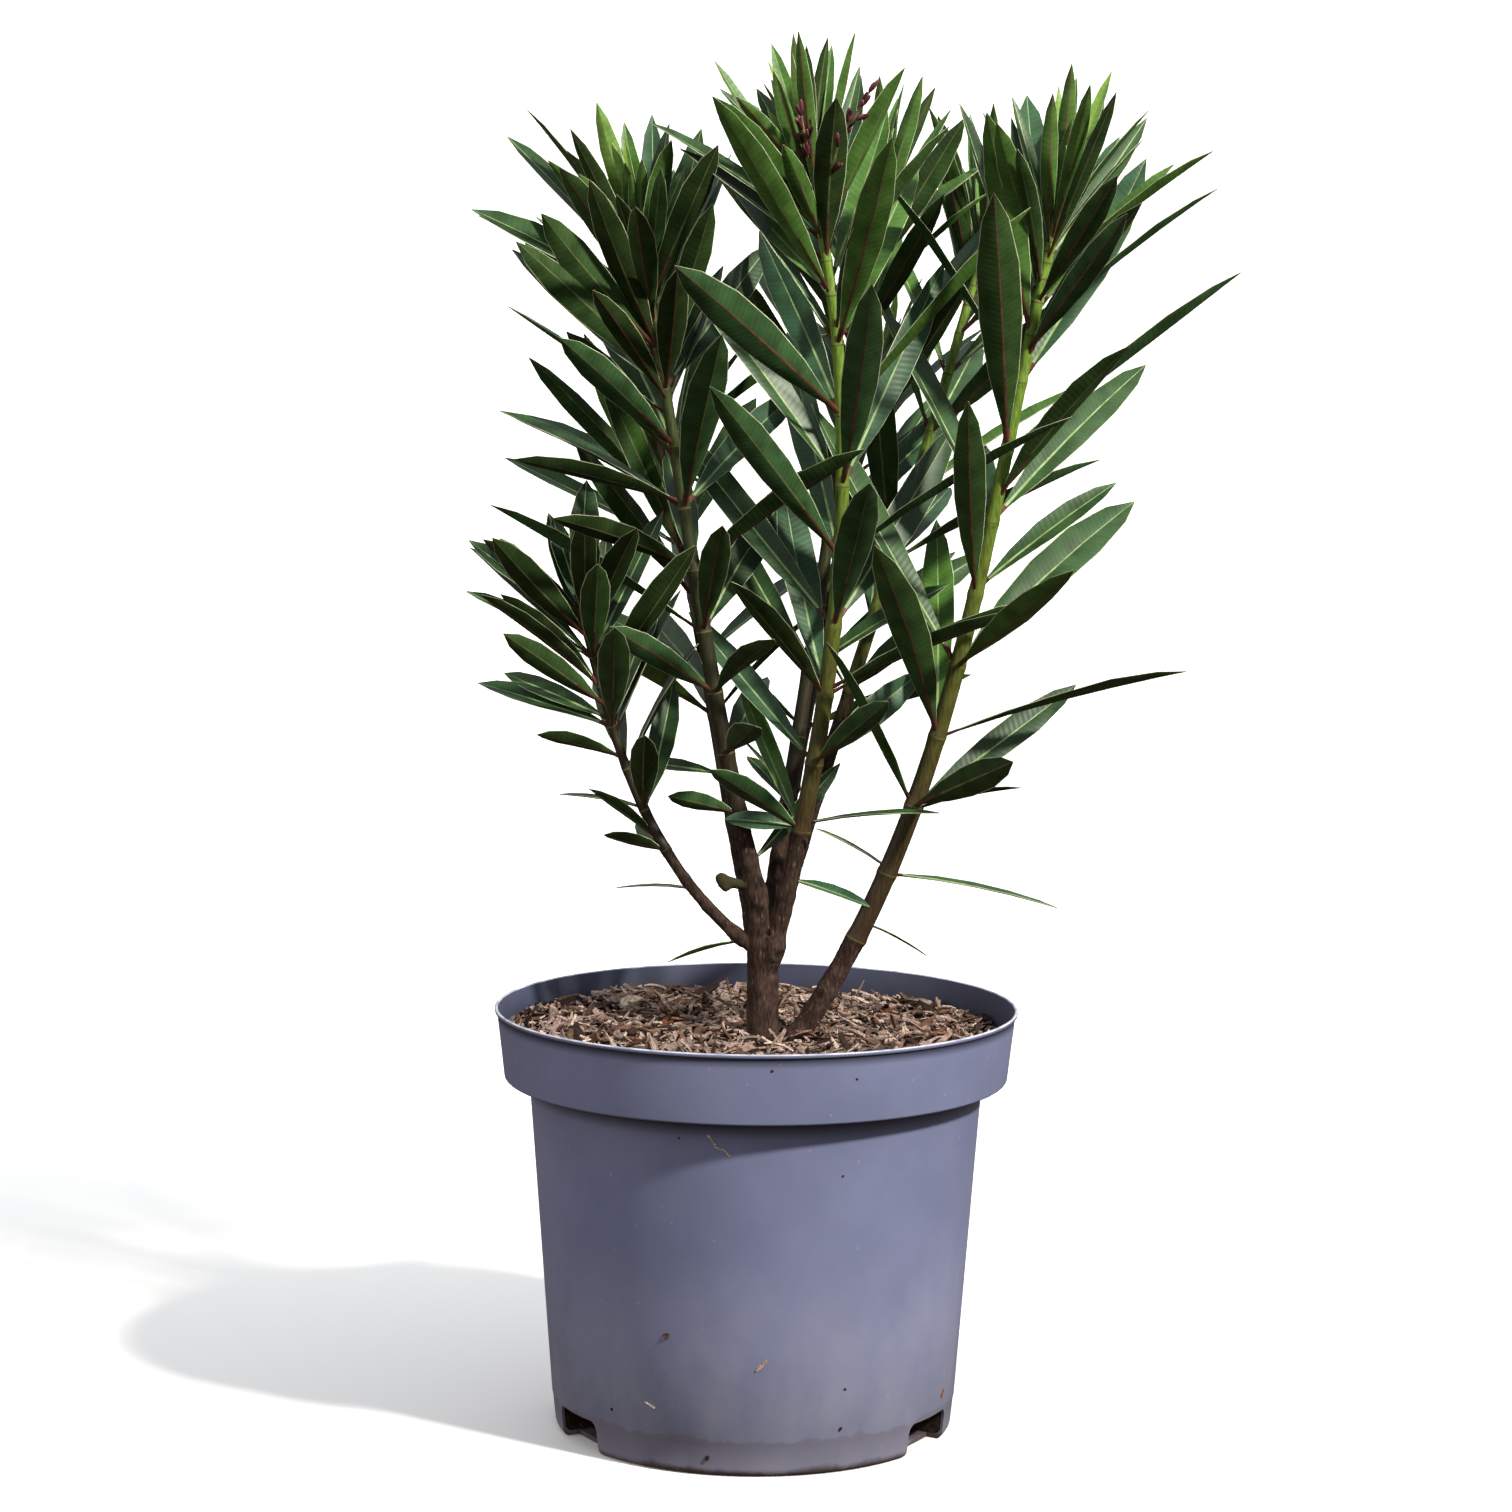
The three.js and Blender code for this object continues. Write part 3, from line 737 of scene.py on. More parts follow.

# Which greens a shoot's grown leaves are dealt from, darker at the left, both for the older wood there
# and as painted shade, and which ones its top and its heart have
shadeDeals = {
    "left": ["deep", "deep", "mid", "mid", "blue"],
    "left_low": ["deep", "deep", "mid"],
    "others": ["deep", "mid", "mid", "blue", "blue", "fresh"],
    "top": ["fresh", "fresh", "mid"],
    "heart": ["young", "young", "fresh"],
}


def leafSkin(name, colour, roughness, relief, gloss):
    # a waxed or dull leaf skin: fine parallel side veins run off the midrib, and the green is mottled
    skin, place = newMaterial("leaf_skin_" + name)
    blotch = addNode(skin, "TexNoise", {"Scale": 85.0, "Detail": 5.0, "Vector": place})
    lines = 1 / (leafLook["veinSpacing"] * mm * math.tau)
    veins = addNode(skin, "TexWave", {"bands_direction": "X", "Scale": lines, "Distortion": 0.6,
                                      "Detail": 1.0, "Vector": place.node.outputs["UV"]}).outputs["Fac"]
    green = mottle(skin, colour, blotch, [(0.32, "#bfc0b6"), (0.66, "#ffffff")])
    lined = mottle(skin, green, veins, [(0.0, "#eff1ec"), (0.6, "#ffffff")])
    return closeMaterial(skin, {"Base Color": lined, "Roughness": roughness, "IOR": 1.45,
                                "Specular IOR Level": gloss}, veins, relief, 0.0003)


def plainSkin(name, colour, roughness):
    # midribs, margins and stalks: smooth tissue whose colour only clouds a little
    skin, place = newMaterial("leaf_" + name)
    cloud = addNode(skin, "TexNoise", {"Scale": 160.0, "Detail": 2.0, "Vector": place})
    clouded = mottle(skin, colour, cloud, [(0.3, "#c4beb4"), (0.65, "#ffffff")])
    return closeMaterial(skin, {"Base Color": clouded, "Roughness": roughness, "IOR": 1.45,
                                "Specular IOR Level": 0.25})


def leafMaterials():
    skins = [leafSkin(side + "_" + shade, colour, *leafFinish[side])
             for side in leafShades for shade, colour in leafShades[side].items()]
    return skins + [plainSkin(name, colour, 0.5) for name, colour in ribShades.items()]


def leafTemplate():
    # ten lines run along the blade: the edge, the inner line of the pale margin and the midrib's
    # side, above and below. They are 1 above and -1 below, and the keel under the midrib is -2.
    look, rim, rib = leafLook, leafLook["margin"], leafLook["ribZone"] / 2
    section = [(1, 0), (rim, 1), (rib, 1), (-rib, 1), (-rim, 1), (-1, 0), (-rim, -1), (-rib, -2), (rib, -2),
               (rim, -1)]
    bm = bmesh.new()
    sweep(bm, [[(station, *point) for point in section] for station, share in look["outline"]])
    places, faces = templateOf(bm)
    kinds = []
    for face in faces:
        x, y, z = places[face].mean(axis=0)
        if len(face) > 4 or x < look["outline"][1][0]:
            kinds.append("petiole")
        elif abs(y) > rim:
            kinds.append("margin")
        elif abs(y) < rib / 2:
            kinds.append("ribUpper" if z > 0 else "ribUnder" if x > look["ribBase"] else "ribBase")
        else:
            kinds.append("upper" if z > 0 else "under")
    return places, faces, kinds


def placeLeaf(leaf, template, dice, slim):
    # where the template's points lie on this leaf, and where they lie on the pattern of its veins
    u, v, w = template.T
    look, length = leafLook, leaf["length"]
    onRib = np.abs(v) < look["ribZone"]
    width = leaf["width"] * mix(*look["slimness"], dice.roll()) * slim
    half = np.interp(u, *zip(*look["outline"])) * width / 2
    half = np.maximum(half, look["stalkHalf"] * (u < look["stalkEnd"]) + look["leastHalf"])
    rib = np.minimum(mix(look["ribFoot"], look["ribTip"], u), half * look["ribShare"])
    spread = np.where(onRib, np.sign(v) * rib, v * half)
    share = np.abs(spread) / half
    stalk = np.clip(1 - u / look["stalkFade"], 0, 1)
    up = np.clip(w, -1, 1) * look["thickness"] / 2 * mix(1, look["tipThickness"], u)
    up -= (w < -1.5) * (look["ribDepth"] * (1 - look["ribTaper"] * u) + look["petioleDepth"] * stalk)
    up -= ((w > 0) & onRib) * look["groove"] * (1 - u) * (1 - stalk)
    ripple = look["wave"] * np.sin(u * look["waveTurns"] + dice.roll() * math.tau) * v
    up += (look["channel"] * share - look["curl"] * share ** 4 + ripple) * half * (1 - stalk)
    turn = np.radians(dice.swing(look["turnAlong"])) * u
    across = spread * np.cos(turn) - up * np.sin(turn) + dice.swing(look["sweep"]) * length * u * u
    rise = spread * np.sin(turn) + up * np.cos(turn)
    places = np.array(leaf["root"])
    for reach, way in ((u * length, "along"), (length * leaf["bend"] * u * u, "inward"), (-across, "side"),
                       (rise, "face")):
        places = places + np.outer(reach, leaf[way])
    veins = np.stack([u * length - share * half * look["veinSlant"], spread], 1) * mm
    return places + np.array(ground), veins


def shadeOf(leaf, limb, dice):
    if leaf["age"] > 1:
        return dice.pick(shadeDeals["heart"])
    if leaf["age"] > leafRule["topStart"]:
        return dice.pick(shadeDeals["top"])
    return dice.pick(shadeDeals.get(limb, shadeDeals["others"]))


def buildLeaves(name, leaves, materials, template):
    places, faces, kinds = template
    dice = Dice(len(name) * 977 + 41)
    copies, veins = [], []
    for leaf in leaves:
        placed, lines = placeLeaf(leaf, places, dice, limbs[name].get("slim", 1.0))
        shade = leaf.get("shade") or shadeOf(leaf, name, dice)
        names = {"upper": "upper_" + shade, "under": "under_" + shade, "margin": "margin",
                 "ribBase": "petiole"}
        if shade == "young":
            names.update(ribUpper="ribYoung", ribUnder="ribYoung", petiole="ribYoung")
        else:
            names.update(ribUpper="ribUpper", ribUnder="ribRed" if dice.roll() < redRibs else "ribUnder",
                         petiole="petiole")
        copies.append((placed, [leafSlots.index(names[kind]) for kind in kinds]))
        veins += [lines[i] for face in faces for i in face]
    piece = joinedCopies("leaves_" + name, copies, faces, materials)
    piece.data.uv_layers.new(name="veins").data.foreach_set("uv", np.array(veins).ravel())
    smoothShade(piece.data, leafLook["sharpAngle"])
    keep(piece, "foliage", "foliage_" + name)


# Leaves that stand out of the rule, on the bare wood and at the edges of the crown, limb by limb. For
# each: the height that it stands at over the ground, the place of its tip from there, its width,
# the way that its upper side looks, and its shade.
strayLeaves = {
    "centre": [
        (115, (-40, -9, 7), 14.5, (0.1, -0.8, 0.55), "blue"),
        (117, (70, -26, 16), 8, (0, -0.1, 1), "mid"),
        (87, (42, -20, -8), 10, (0.1, -0.5, 0.8), "blue"),
        (189, (100, -44, 55), 16, (-0.2, 0.5, 0.8), "mid"),
        (423, (-83, 0, 67), 16, (0.5, -0.55, 0.7), "mid"),
    ],
    "right": [
        (93, (-37, -12, 26), 6, (0.4, -0.1, 1), "mid"),
        (64, (35, -7, -14), 6, (0.3, 0.2, 1), "deep"),
        (91, (95, 28, -13), 9, (0, -0.4, 1), "mid"),
        (243, (72, 24, 61), 19, (-0.2, -0.7, 0.7), "mid"),
        (125, (54, -27, 21), 12, (0, 0.35, 0.9), "deep"),
        (290, (56, -52, 88), 21, (-0.3, 0.8, 0.4), "mid"),
        (364, (49, -57, 84), 21, (-0.3, 0.85, 0.4), "deep"),
    ],
    "left": [
        (94, (49, 10, 53), 13, (0.5, -1, 0.1), "deep"),
        (402, (-54, 7, 93), 16, (0.75, -0.25, 0.6), "mid"),
        (414, (-25, -3, 78), 13, (-0.2, 0.9, 0.3), "young"),
        (409, (10, 9, 76), 13, (-0.4, -0.8, 0.3), "deep"),
        (388, (-88, -5, 58), 19, (0.3, -0.6, 0.8), "mid"),
        (309, (-55, -33, 70), 20, (0.3, 0.9, 0.4), "deep"),
        (286, (-86, -35, 30), 18, (0, 0.6, 0.8), "deep"),
        (398, (-72, 19, 84), 15, (0.5, -0.6, 0.6), "mid"),
        (393, (-38, -17, 88), 13, (0.3, 0.9, 0.2), "deep"),
        (409, (-9, 5, 76), 12, (0.1, -0.9, 0.3), "fresh"),
        (386, (1, 26, 106), 14, (-0.2, -0.9, 0.3), "blue"),
    ],
    "left_low": [
        (53, (-41, -7, -8), 9, (0.1, 0.4, 0.9), "mid"),
        (81, (-42, 29, 0), 5, (0, -0.2, 1), "mid"),
        (124, (-45, 17, 8), 6, (0, -0.2, 1), "mid"),
        (189, (-49, -19, 53), 14, (0.2, 0.9, 0.4), "deep"),
        (204, (-64, 20, 61), 13, (0.3, -0.6, 0.7), "deep"),
        (171, (-59, 21, 24), 13, (0.1, -0.7, 0.7), "mid"),
        (151, (-45, -19, 16), 14, (0.1, 0.7, 0.7), "deep"),
        (106, (-36, -3, 31), 14, (0.4, 0.7, 0.5), "deep"),
    ],
    "centre_back": [
        (129, (-23, 3, 32), 5, (0.6, -0.3, 0.6), "mid"),
    ],
}
strayBend = -0.09


def strayLeaf(path, height, reach, width, looks, shade):
    station = next(s for s in range(round(path.length)) if path.at(s)[0].z >= height)
    along, looks = Vector(reach).normalized(), Vector(looks)
    face = (looks - along * looks.dot(along)).normalized()
    return {"root": path.at(station)[0], "along": along, "inward": face, "face": face,
            "side": along.cross(face), "length": Vector(reach).length, "width": width, "bend": strayBend,
            "shade": shade}


def buildFoliage():
    materials, template = leafMaterials(), leafTemplate()
    for name, limb in limbs.items():
        leaves = [leaf for k, leaf in enumerate(limb["leaves"]) if k not in limb.get("fallen", [])]
        leaves += [strayLeaf(limb["path"], *plan) for plan in strayLeaves.get(name, [])]
        buildLeaves(name, leaves, materials, template)


buildFoliage()
print("leaves built")


# Wood and green shoots

# Marks on the wood: place and reach of each bud scar and knot, and of the green pruned stub
barkScars = [((0.2, -10, 278.5), 3.4), ((10.5, -9.5, 246.5), 2.8), ((11, -10, 257), 2.4),
             ((34, -9.5, 235), 2.6), ((6, -9.5, 268), 1.6)]
stubGreen = [((-14, -3.6, 294.5), 12)]

woodLook = {
    "sides": 20,
    "step": 5,
    "trunkStep": 3,
    "leastStep": 0.25,
    "collarSwell": 0.32,   # a bough is this much stouter where it leaves the wood, fading over its reach
    "collarReach": 6,
    "stubKnobs": [((1.5, 0, 0.8), 3.7), ((3.6, -1, -3.2), 2.9)],   # where the pruned stub has healed over
    "voxel": 0.85,
    "nodeSwell": 0.1,
    "nodeReach": 2.6,
    "nodeMarks": [1.5, 3],
    "lowestNode": 12,      # rings on the bare wood go down to here, closer than the whorls by the share
    "nodeShare": 0.8,
    "cracks": (1.7, 1.7, 9),     # how wide, deep and tall the bark's features are
    "lumps": (5, 5, 8),
    "grits": (0.9, 0.9, 3),
    "crackDepth": 0.408,
    "lumpHeight": 0.306,
    "grain": 0.16,
    "smoothing": [60, 170],      # the heights between which the bark turns young and smooth, by the share
    "smoothShare": 0.75,
    "scarDepth": 0.5,
    "scarPit": 1.6,
    "scarRim": (0.8, 1.5, 0.4),  # height, where it is and how wide, as shares of the scar's reach
    "scarWidth": 0.9,
    "shootSides": 14,
    "shootTop": 8,         # no scars are that near to the tip
    "ridge": 0.035,
}

# Colours of a green shoot from its foot to its tip: the sunny ones turn lime, the shaded stay olive and are
# darkened further as painted shade
shootShades = {
    "sunny": [(0.0, "#3d2f22"), (0.2, "#43381f"), (0.36, "#4f5121"), (0.52, "#5c6b26"), (0.75, "#67842d"),
              (1.0, "#719338")],
    "shaded": [(0.0, "#2e241b"), (0.3, "#2e2818"), (0.6, "#31371b"), (1.0, "#445325")],
}


def ringAt(path, station, radius, sides, ridge=0.0):
    # places round a limb, which has three soft ridges
    point, ahead = path.at(station)
    across = acrossOf(ahead)
    over = ahead.cross(across)
    ring = []
    for k in range(sides):
        angle = math.tau * k / sides
        reach = radius * (1 + ridge * math.cos(3 * angle))
        ring.append(point + across * (math.cos(angle) * reach) + over * (math.sin(angle) * reach))
    return ring


def swelling(distance, height, reach):
    # a swelling that fades out over its reach
    return 1 + height * math.exp(-(distance / reach) ** 2)


def swellAt(station, nodes):
    # a stem is thicker where its leaves stand or stood
    near = min((abs(station - node) for node in nodes), default=99)
    return swelling(near, woodLook["nodeSwell"], woodLook["nodeReach"])


def stationsOf(start, end, nodes):
    # even steps, with closer ones round each node
    marks = set(np.linspace(start, end, max(2, round((end - start) / woodLook["step"]))))
    for away in (woodLook["scarWidth"] / 2, *woodLook["nodeMarks"]):
        near = {node + side * away for node in nodes for side in (-1, 1)}
        marks |= {mark for mark in near if start < mark < end}
    tidy = []
    for mark in sorted(marks):
        if not tidy or mark - tidy[-1] > woodLook["leastStep"]:
            tidy.append(mark)
    return tidy


def oldNodes(limb):
    # rings left on the bare wood below the lowest leaves
    nodes, station = [], limb["first"]
    while station > woodLook["lowestNode"]:
        nodes.append(station)
        station -= limb["gap"] * woodLook["nodeShare"]
    return nodes


def noiseAt(place, size, shift=(0, 0, 0)):
    return noise.noise(Vector([value / step + move for value, step, move in zip(place, size, shift)]))


def spotMask(material, place, spots):
    # white at each named place, in millimetres, and black from its reach on
    mask = None
    for spot, reach in spots:
        away = addNode(material, "VectorMath", {"operation": "DISTANCE", 0: place,
                                                1: [value * mm for value in spot]})
        near = addNode(material, "MapRange", {"From Min": reach * mm, "From Max": reach * mm * 0.45,
                                              "Value": away})
        mask = near if mask is None else addNode(material, "Math", {"operation": "MAXIMUM", 0: mask, 1: near})
    return mask


def barkMaterial():
    # thin young bark: grey-brown with fine upright cracks and pale breathing pores, greener higher up
    bark, place = newMaterial("oleander_bark")
    stretched = addNode(bark, "Mapping", {"Scale": (1.0, 1.0, 0.22), "Vector": place})
    grain = addNode(bark, "TexNoise", {"Scale": 900.0, "Detail": 5.0, "Roughness": 0.62, "Vector": stretched})
    height = addNode(bark, "SeparateXYZ", {"Vector": place}).outputs["Z"]
    rise = addNode(bark, "MapRange", {"From Min": 0.24, "From Max": 0.44, "Value": height})
    age = addNode(bark, "ValToRGB", {"stops": [(0.0, "#524039"), (0.45, "#41332a"), (1.0, "#42401f")],
                                     "Fac": rise})
    cracked = mottle(bark, age, grain, [(0.32, "#7d746e"), (0.62, "#ffffff")])
    patch = addNode(bark, "TexNoise", {"Scale": 130.0, "Detail": 3.0, "Vector": place})
    patched = mottle(bark, cracked, patch, [(0.3, "#a89c94"), (0.6, "#ffffff")])
    pores = addNode(bark, "TexVoronoi", {"Scale": 420.0, "Vector": stretched})
    pore = addNode(bark, "ValToRGB", {"stops": [(0.08, "#a0a0a0"), (0.2, "#000000")], "Fac": pores})
    marked = coat(bark, patched, (pore, "#8f7a6d"), (spotMask(bark, place, barkScars), "#231813"),
                  (spotMask(bark, place, stubGreen), "#38341f"))
    return closeMaterial(bark, {"Base Color": marked, "Roughness": 0.85, "Specular IOR Level": 0.15},
                         grain, 0.5, 0.0005)


def shootMaterial(name, stops):
    # the smooth skin of this year's wood: olive below, greener towards the tip
    skin, place = newMaterial("green_shoot_skin_" + name)
    height = addNode(skin, "SeparateXYZ", {"Vector": place}).outputs["Z"]
    rise = addNode(skin, "MapRange", {"From Min": 0.27, "From Max": 0.62, "Value": height})
    cloud = addNode(skin, "TexNoise", {"Scale": 90.0, "Detail": 4.0, "Vector": place})
    offset = addNode(skin, "MapRange", {"To Min": -0.12, "To Max": 0.12, "Value": cloud})
    age = addNode(skin, "Math", {"operation": "ADD", 0: rise, 1: offset})
    colour = addNode(skin, "ValToRGB", {"stops": stops, "Fac": age})
    streak = addNode(skin, "Mapping", {"Scale": (1.0, 1.0, 0.15), "Vector": place})
    fibre = addNode(skin, "TexNoise", {"Scale": 800.0, "Detail": 3.0, "Vector": streak})
    lined = mottle(skin, colour, fibre, [(0.3, "#b8b4aa"), (0.6, "#ffffff")])
    return closeMaterial(skin, {"Base Color": lined, "Roughness": 0.5, "IOR": 1.45,
                                "Specular IOR Level": 0.3}, fibre, 0.2, 0.0003)


def woodPiece():
    # trunk, stub and bare boughs, grown into one another by a remesh
    bm = bmesh.new()
    sides, foot = woodLook["sides"], -plant["rootInset"]
    marks = np.arange(foot, trunkPath.length + 2, woodLook["trunkStep"])
    sweep(bm, [ringAt(trunkPath, mark, trunkRadiusAt(mark), sides) for mark in marks])
    for limb in limbs.values():
        nodes, rings = oldNodes(limb), []
        limb["woodEnd"] = min(node for node in limb["nodes"] if node >= limb["leafy"])
        collar = 0 if limb.get("ownFoot") else woodLook["collarReach"]
        for mark in stationsOf(foot, limb["woodEnd"], nodes):
            radius = limbRadiusAt(limb, mark) * swellAt(mark, nodes)
            radius *= swelling(mark - collar, woodLook["collarSwell"], woodLook["collarReach"])
            rings.append(ringAt(limb["path"], mark, radius, sides))
        sweep(bm, rings)
    start, end = (Vector(point) for point in plant["stub"])
    stub = LimbPath([start, start.lerp(end, 1 / 3), start.lerp(end, 2 / 3), end])
    radii = [0.9 + 0.3 * smoothStep(k, 3, 5) for k in range(7)]
    sweep(bm, [ringAt(stub, stub.length * k / 6, plant["stubRadius"] * radius, sides)
               for k, radius in enumerate(radii)])
    for shift, radius in woodLook["stubKnobs"]:
        bmesh.ops.create_icosphere(bm, subdivisions=2, radius=radius,
                                   matrix=Matrix.Translation(end + Vector(shift)))
    piece = meshObject("trunk_and_boughs", meshFrom(bm, "wood", 1.0))
    remesh = piece.modifiers.new("grown_together", "REMESH")
    remesh.mode = "VOXEL"
    remesh.voxel_size = woodLook["voxel"]
    soften = piece.modifiers.new("softened", "SMOOTH")
    soften.factor = 0.5
    soften.iterations = 3
    applyModifiers(piece)
    return piece


def scarRelief(place):
    # a scar is sunk, with a raised rim round it
    depth = 0
    height, at, width = woodLook["scarRim"]
    for spot, reach in barkScars:
        away = (place + ground - Vector(spot)).length / reach
        depth += height * math.exp(-((away - at) / width) ** 2) - math.exp(-away ** 2 * woodLook["scarPit"])
    return depth * woodLook["scarDepth"]


def barkRelief(piece):
    # cuts the wood level at the ground and lays cracks, grit and scars on it
    bm = bmesh.new()
    bm.from_mesh(piece.data)
    level = plant["clearance"]
    bmesh.ops.bisect_plane(bm, geom=bm.verts[:] + bm.edges[:] + bm.faces[:], plane_co=(0, 0, level),
                           plane_no=(0, 0, -1), clear_outer=True)
    bmesh.ops.holes_fill(bm, edges=[edge for edge in bm.edges if edge.is_boundary])
    bm.normal_update()
    for vert in bm.verts:
        if vert.co.z < level + 0.2:
            continue
        depth = woodLook["grain"] * noiseAt(vert.co, woodLook["grits"], (0, 3, 0))
        depth += woodLook["lumpHeight"] * noiseAt(vert.co, woodLook["lumps"], (7, 0, 0))
        depth -= woodLook["crackDepth"] * max(0, noiseAt(vert.co, woodLook["cracks"]))
        depth *= 1 - woodLook["smoothShare"] * smoothStep(vert.co.z, *woodLook["smoothing"])
        vert.co += vert.normal * (depth + scarRelief(vert.co))
    bmesh.ops.translate(bm, vec=ground, verts=bm.verts)
    bmesh.ops.triangulate(bm, faces=[face for face in bm.faces if len(face.verts) > 4])
    swapMesh(piece, meshFrom(bm, "trunk_and_boughs"))
    smoothShade(piece.data, 70)


def buildWood():
    piece = woodPiece()
    barkRelief(piece)
    piece.data.materials.append(barkMaterial())
    boughs = [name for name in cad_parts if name.startswith("bough_")]
    keep(piece, "bark", "trunk", "stem_right", *boughs)
    print("bark faces:", len(piece.data.polygons))


def closeGreen(bm, name, materials):
    # finishes a piece of the shoots that has been built over the ground
    bmesh.ops.translate(bm, vec=ground, verts=bm.verts)
    bmesh.ops.recalc_face_normals(bm, faces=bm.faces)
    piece = meshObject(name, meshFrom(bm, name), materials)
    smoothShade(piece.data, 60)
    keep(piece, "foliage")


def buildShoots():
    skins = {name: shootMaterial(name, stops) for name, stops in shootShades.items()}
    scar = plainSkin("node_scar", "#5f5a38", 0.6)
    for name, limb in limbs.items():
        bm, path = bmesh.new(), limb["path"]
        nodes = [node for node in limb["nodes"] if path.length - node > woodLook["shootTop"]]
        marks = stationsOf(limb["woodEnd"] - 2, path.length - 1, nodes)
        rows = sweep(bm, [ringAt(path, mark, limbRadiusAt(limb, mark) * swellAt(mark, nodes),
                                 woodLook["shootSides"], woodLook["ridge"]) for mark in marks])
        for row, low, high in zip(rows, marks, marks[1:]):
            scarred = any(abs((low + high) / 2 - node) < woodLook["scarWidth"] / 2 for node in nodes)
            for face in row:
                face.material_index = int(scarred)
        closeGreen(bm, "shoot_" + name, [skins["sunny" if limb.get("sunny") else "shaded"], scar])


buildWood()
buildShoots()
print("wood and shoots built")


# Flower buds, still closed

budLook = {
    "stalkRadius": 0.9,
    "stalkTaper": 0.06,
    "stalkSides": 7,
    "stalkBend": (0.35, 0.75),    # where along it its two handles are
    "headShare": 0.6,     # the share of a stalk that carries its branches
    "turn": 137.5,
    "branchLength": 3.6,
    "branchRadius": 0.5,
    "branchSides": 6,
    "branchAim": (0.9, 0.45),     # ahead and outwards
    "budsEach": 3,
    "budSwing": (0.35, 0.35, 0.2),
    "budLength": 9,
    "budLengths": (0.6, 0.5),     # the least share of it, and how much more it can be
    "budWidth": 2.4,
    "budSeat": 0.42,      # how far a bud's middle is from its foot, as a share of its length
    "seed": 11,
}
budShades = ["#673844", "#7f4d54", "#4c242b"]

# Each flower stalk: how deep under the tip of the centre limb it stands, the place of its head from
# the ground, and its branches
budStalks = [(14, (20, -63, 479), 9), (10, (50, -66, 491), 9), (22, (36, -71, 464), 2)]


def budMaterials():
    # waxy closed petals, burgundy with a dusty bloom, on pale pinkish stalks
    made = [plainSkin("bud_petal_" + str(k), colour, 0.45) for k, colour in enumerate(budShades)]
    return made + [plainSkin("bud_stalk", "#8f8a5e", 0.55)]


def slotFrom(bm, known, slot):
    # gives its slot to every face past the known ones, which are all known from then on
    for face in list(bm.faces)[known:]:
        face.material_index = slot
    return len(bm.faces)


def addBud(bm, point, aim, ahead, dice):
    look = budLook
    way = (aim + ahead * 0.5 + Vector([dice.swing(amount) for amount in look["budSwing"]])).normalized()
    least, more = look["budLengths"]
    size = look["budLength"] * (least + more * dice.roll())
    turn = way.to_track_quat("Z", "Y").to_matrix().to_4x4()
    shape = Matrix.Diagonal((look["budWidth"] / 2, look["budWidth"] / 2, size / 2, 1))
    bmesh.ops.create_uvsphere(bm, u_segments=8, v_segments=6, radius=1,
                              matrix=Matrix.Translation(point + way * size * look["budSeat"]) @ turn @ shape)


def buildBuds():
    look, dice = budLook, Dice(budLook["seed"])
    bm, known, green = bmesh.new(), 0, len(budShades)
    path = limbs["centre"]["path"]
    for depth, place, branches in budStalks:
        foot, ahead = path.at(path.length - depth)
        head, (lower, upper) = Vector(place), look["stalkBend"]
        stalk = LimbPath([foot, foot + ahead * (head - foot).length * lower, foot.lerp(head, upper), head])
        sweep(bm, [ringAt(stalk, stalk.length * k / 6, look["stalkRadius"] * (1 - look["stalkTaper"] * k),
                          look["stalkSides"]) for k in range(7)])
        known = slotFrom(bm, known, green)
        for j in range(branches):
            share = (j + 1) / branches
            point, ahead = stalk.at(stalk.length * (1 - look["headShare"] * (1 - share)))
            onward, outward = look["branchAim"]
            out = outOf(ahead, math.radians(look["turn"] * j))
            aim = ahead if share == 1 else (ahead * onward + out * outward).normalized()
            reach = look["branchLength"] * (2 if share == 1 else 1)
            end = point + aim * reach
            twig = LimbPath([point, point + aim * reach / 3, point + aim * reach * 2 / 3, end])
            sweep(bm, [ringAt(twig, reach * share, look["branchRadius"], look["branchSides"])
                       for share in (0, 0.5, 1)])
            known = slotFrom(bm, known, green)
            for _ in range(look["budsEach"]):
                addBud(bm, end, aim, ahead, dice)
                known = slotFrom(bm, known, int(dice.roll() * len(budShades)) % len(budShades))
    closeGreen(bm, "flower_buds", budMaterials())


buildBuds()
print("buds built")


# The nursery pot

pot = {
    "rimRadius": 140,
    "rimHeight": 227.5,
    "collarFoot": 190,
    "collarFootRadius": 134.8,
    "bodyTopRadius": 121.4,
    "bodyFootRadius": 107.4,
    "footRadius": 103,
    "footRound": 5,
    "wall": 1.8,
    "floorThickness": 2.6,
    "bandHeight": 18,      # a faint moulded line runs round the foot at the notches' tops
    "bandStep": 0.35,
    "edgeRound": 1.28,
    "lip": 1.3,            # how far the rolled lip stands out over the collar
    "lipHeight": 2.4,
    "sides": 192,
    "notchCount": 3,
    "notchWidth": 40,
    "notchHeight": 18,
    "notchCorner": 5,
    "notchReach": 12,      # how far a notch's cut reaches in through the wall, and into the compost
    "pocketReach": 22,
    "cutOut": 8,
    "cutUnder": 6,
}


def insideRadius(height):
    if height < pot["collarFoot"] + pot["wall"]:
        share = (height - pot["footRound"]) / (pot["collarFoot"] - pot["footRound"])
        return mix(pot["bodyFootRadius"], pot["bodyTopRadius"], share) - pot["wall"]
    share = (height - pot["collarFoot"]) / (pot["rimHeight"] - pot["collarFoot"])
    return mix(pot["collarFootRadius"], pot["rimRadius"], share) - pot["wall"]


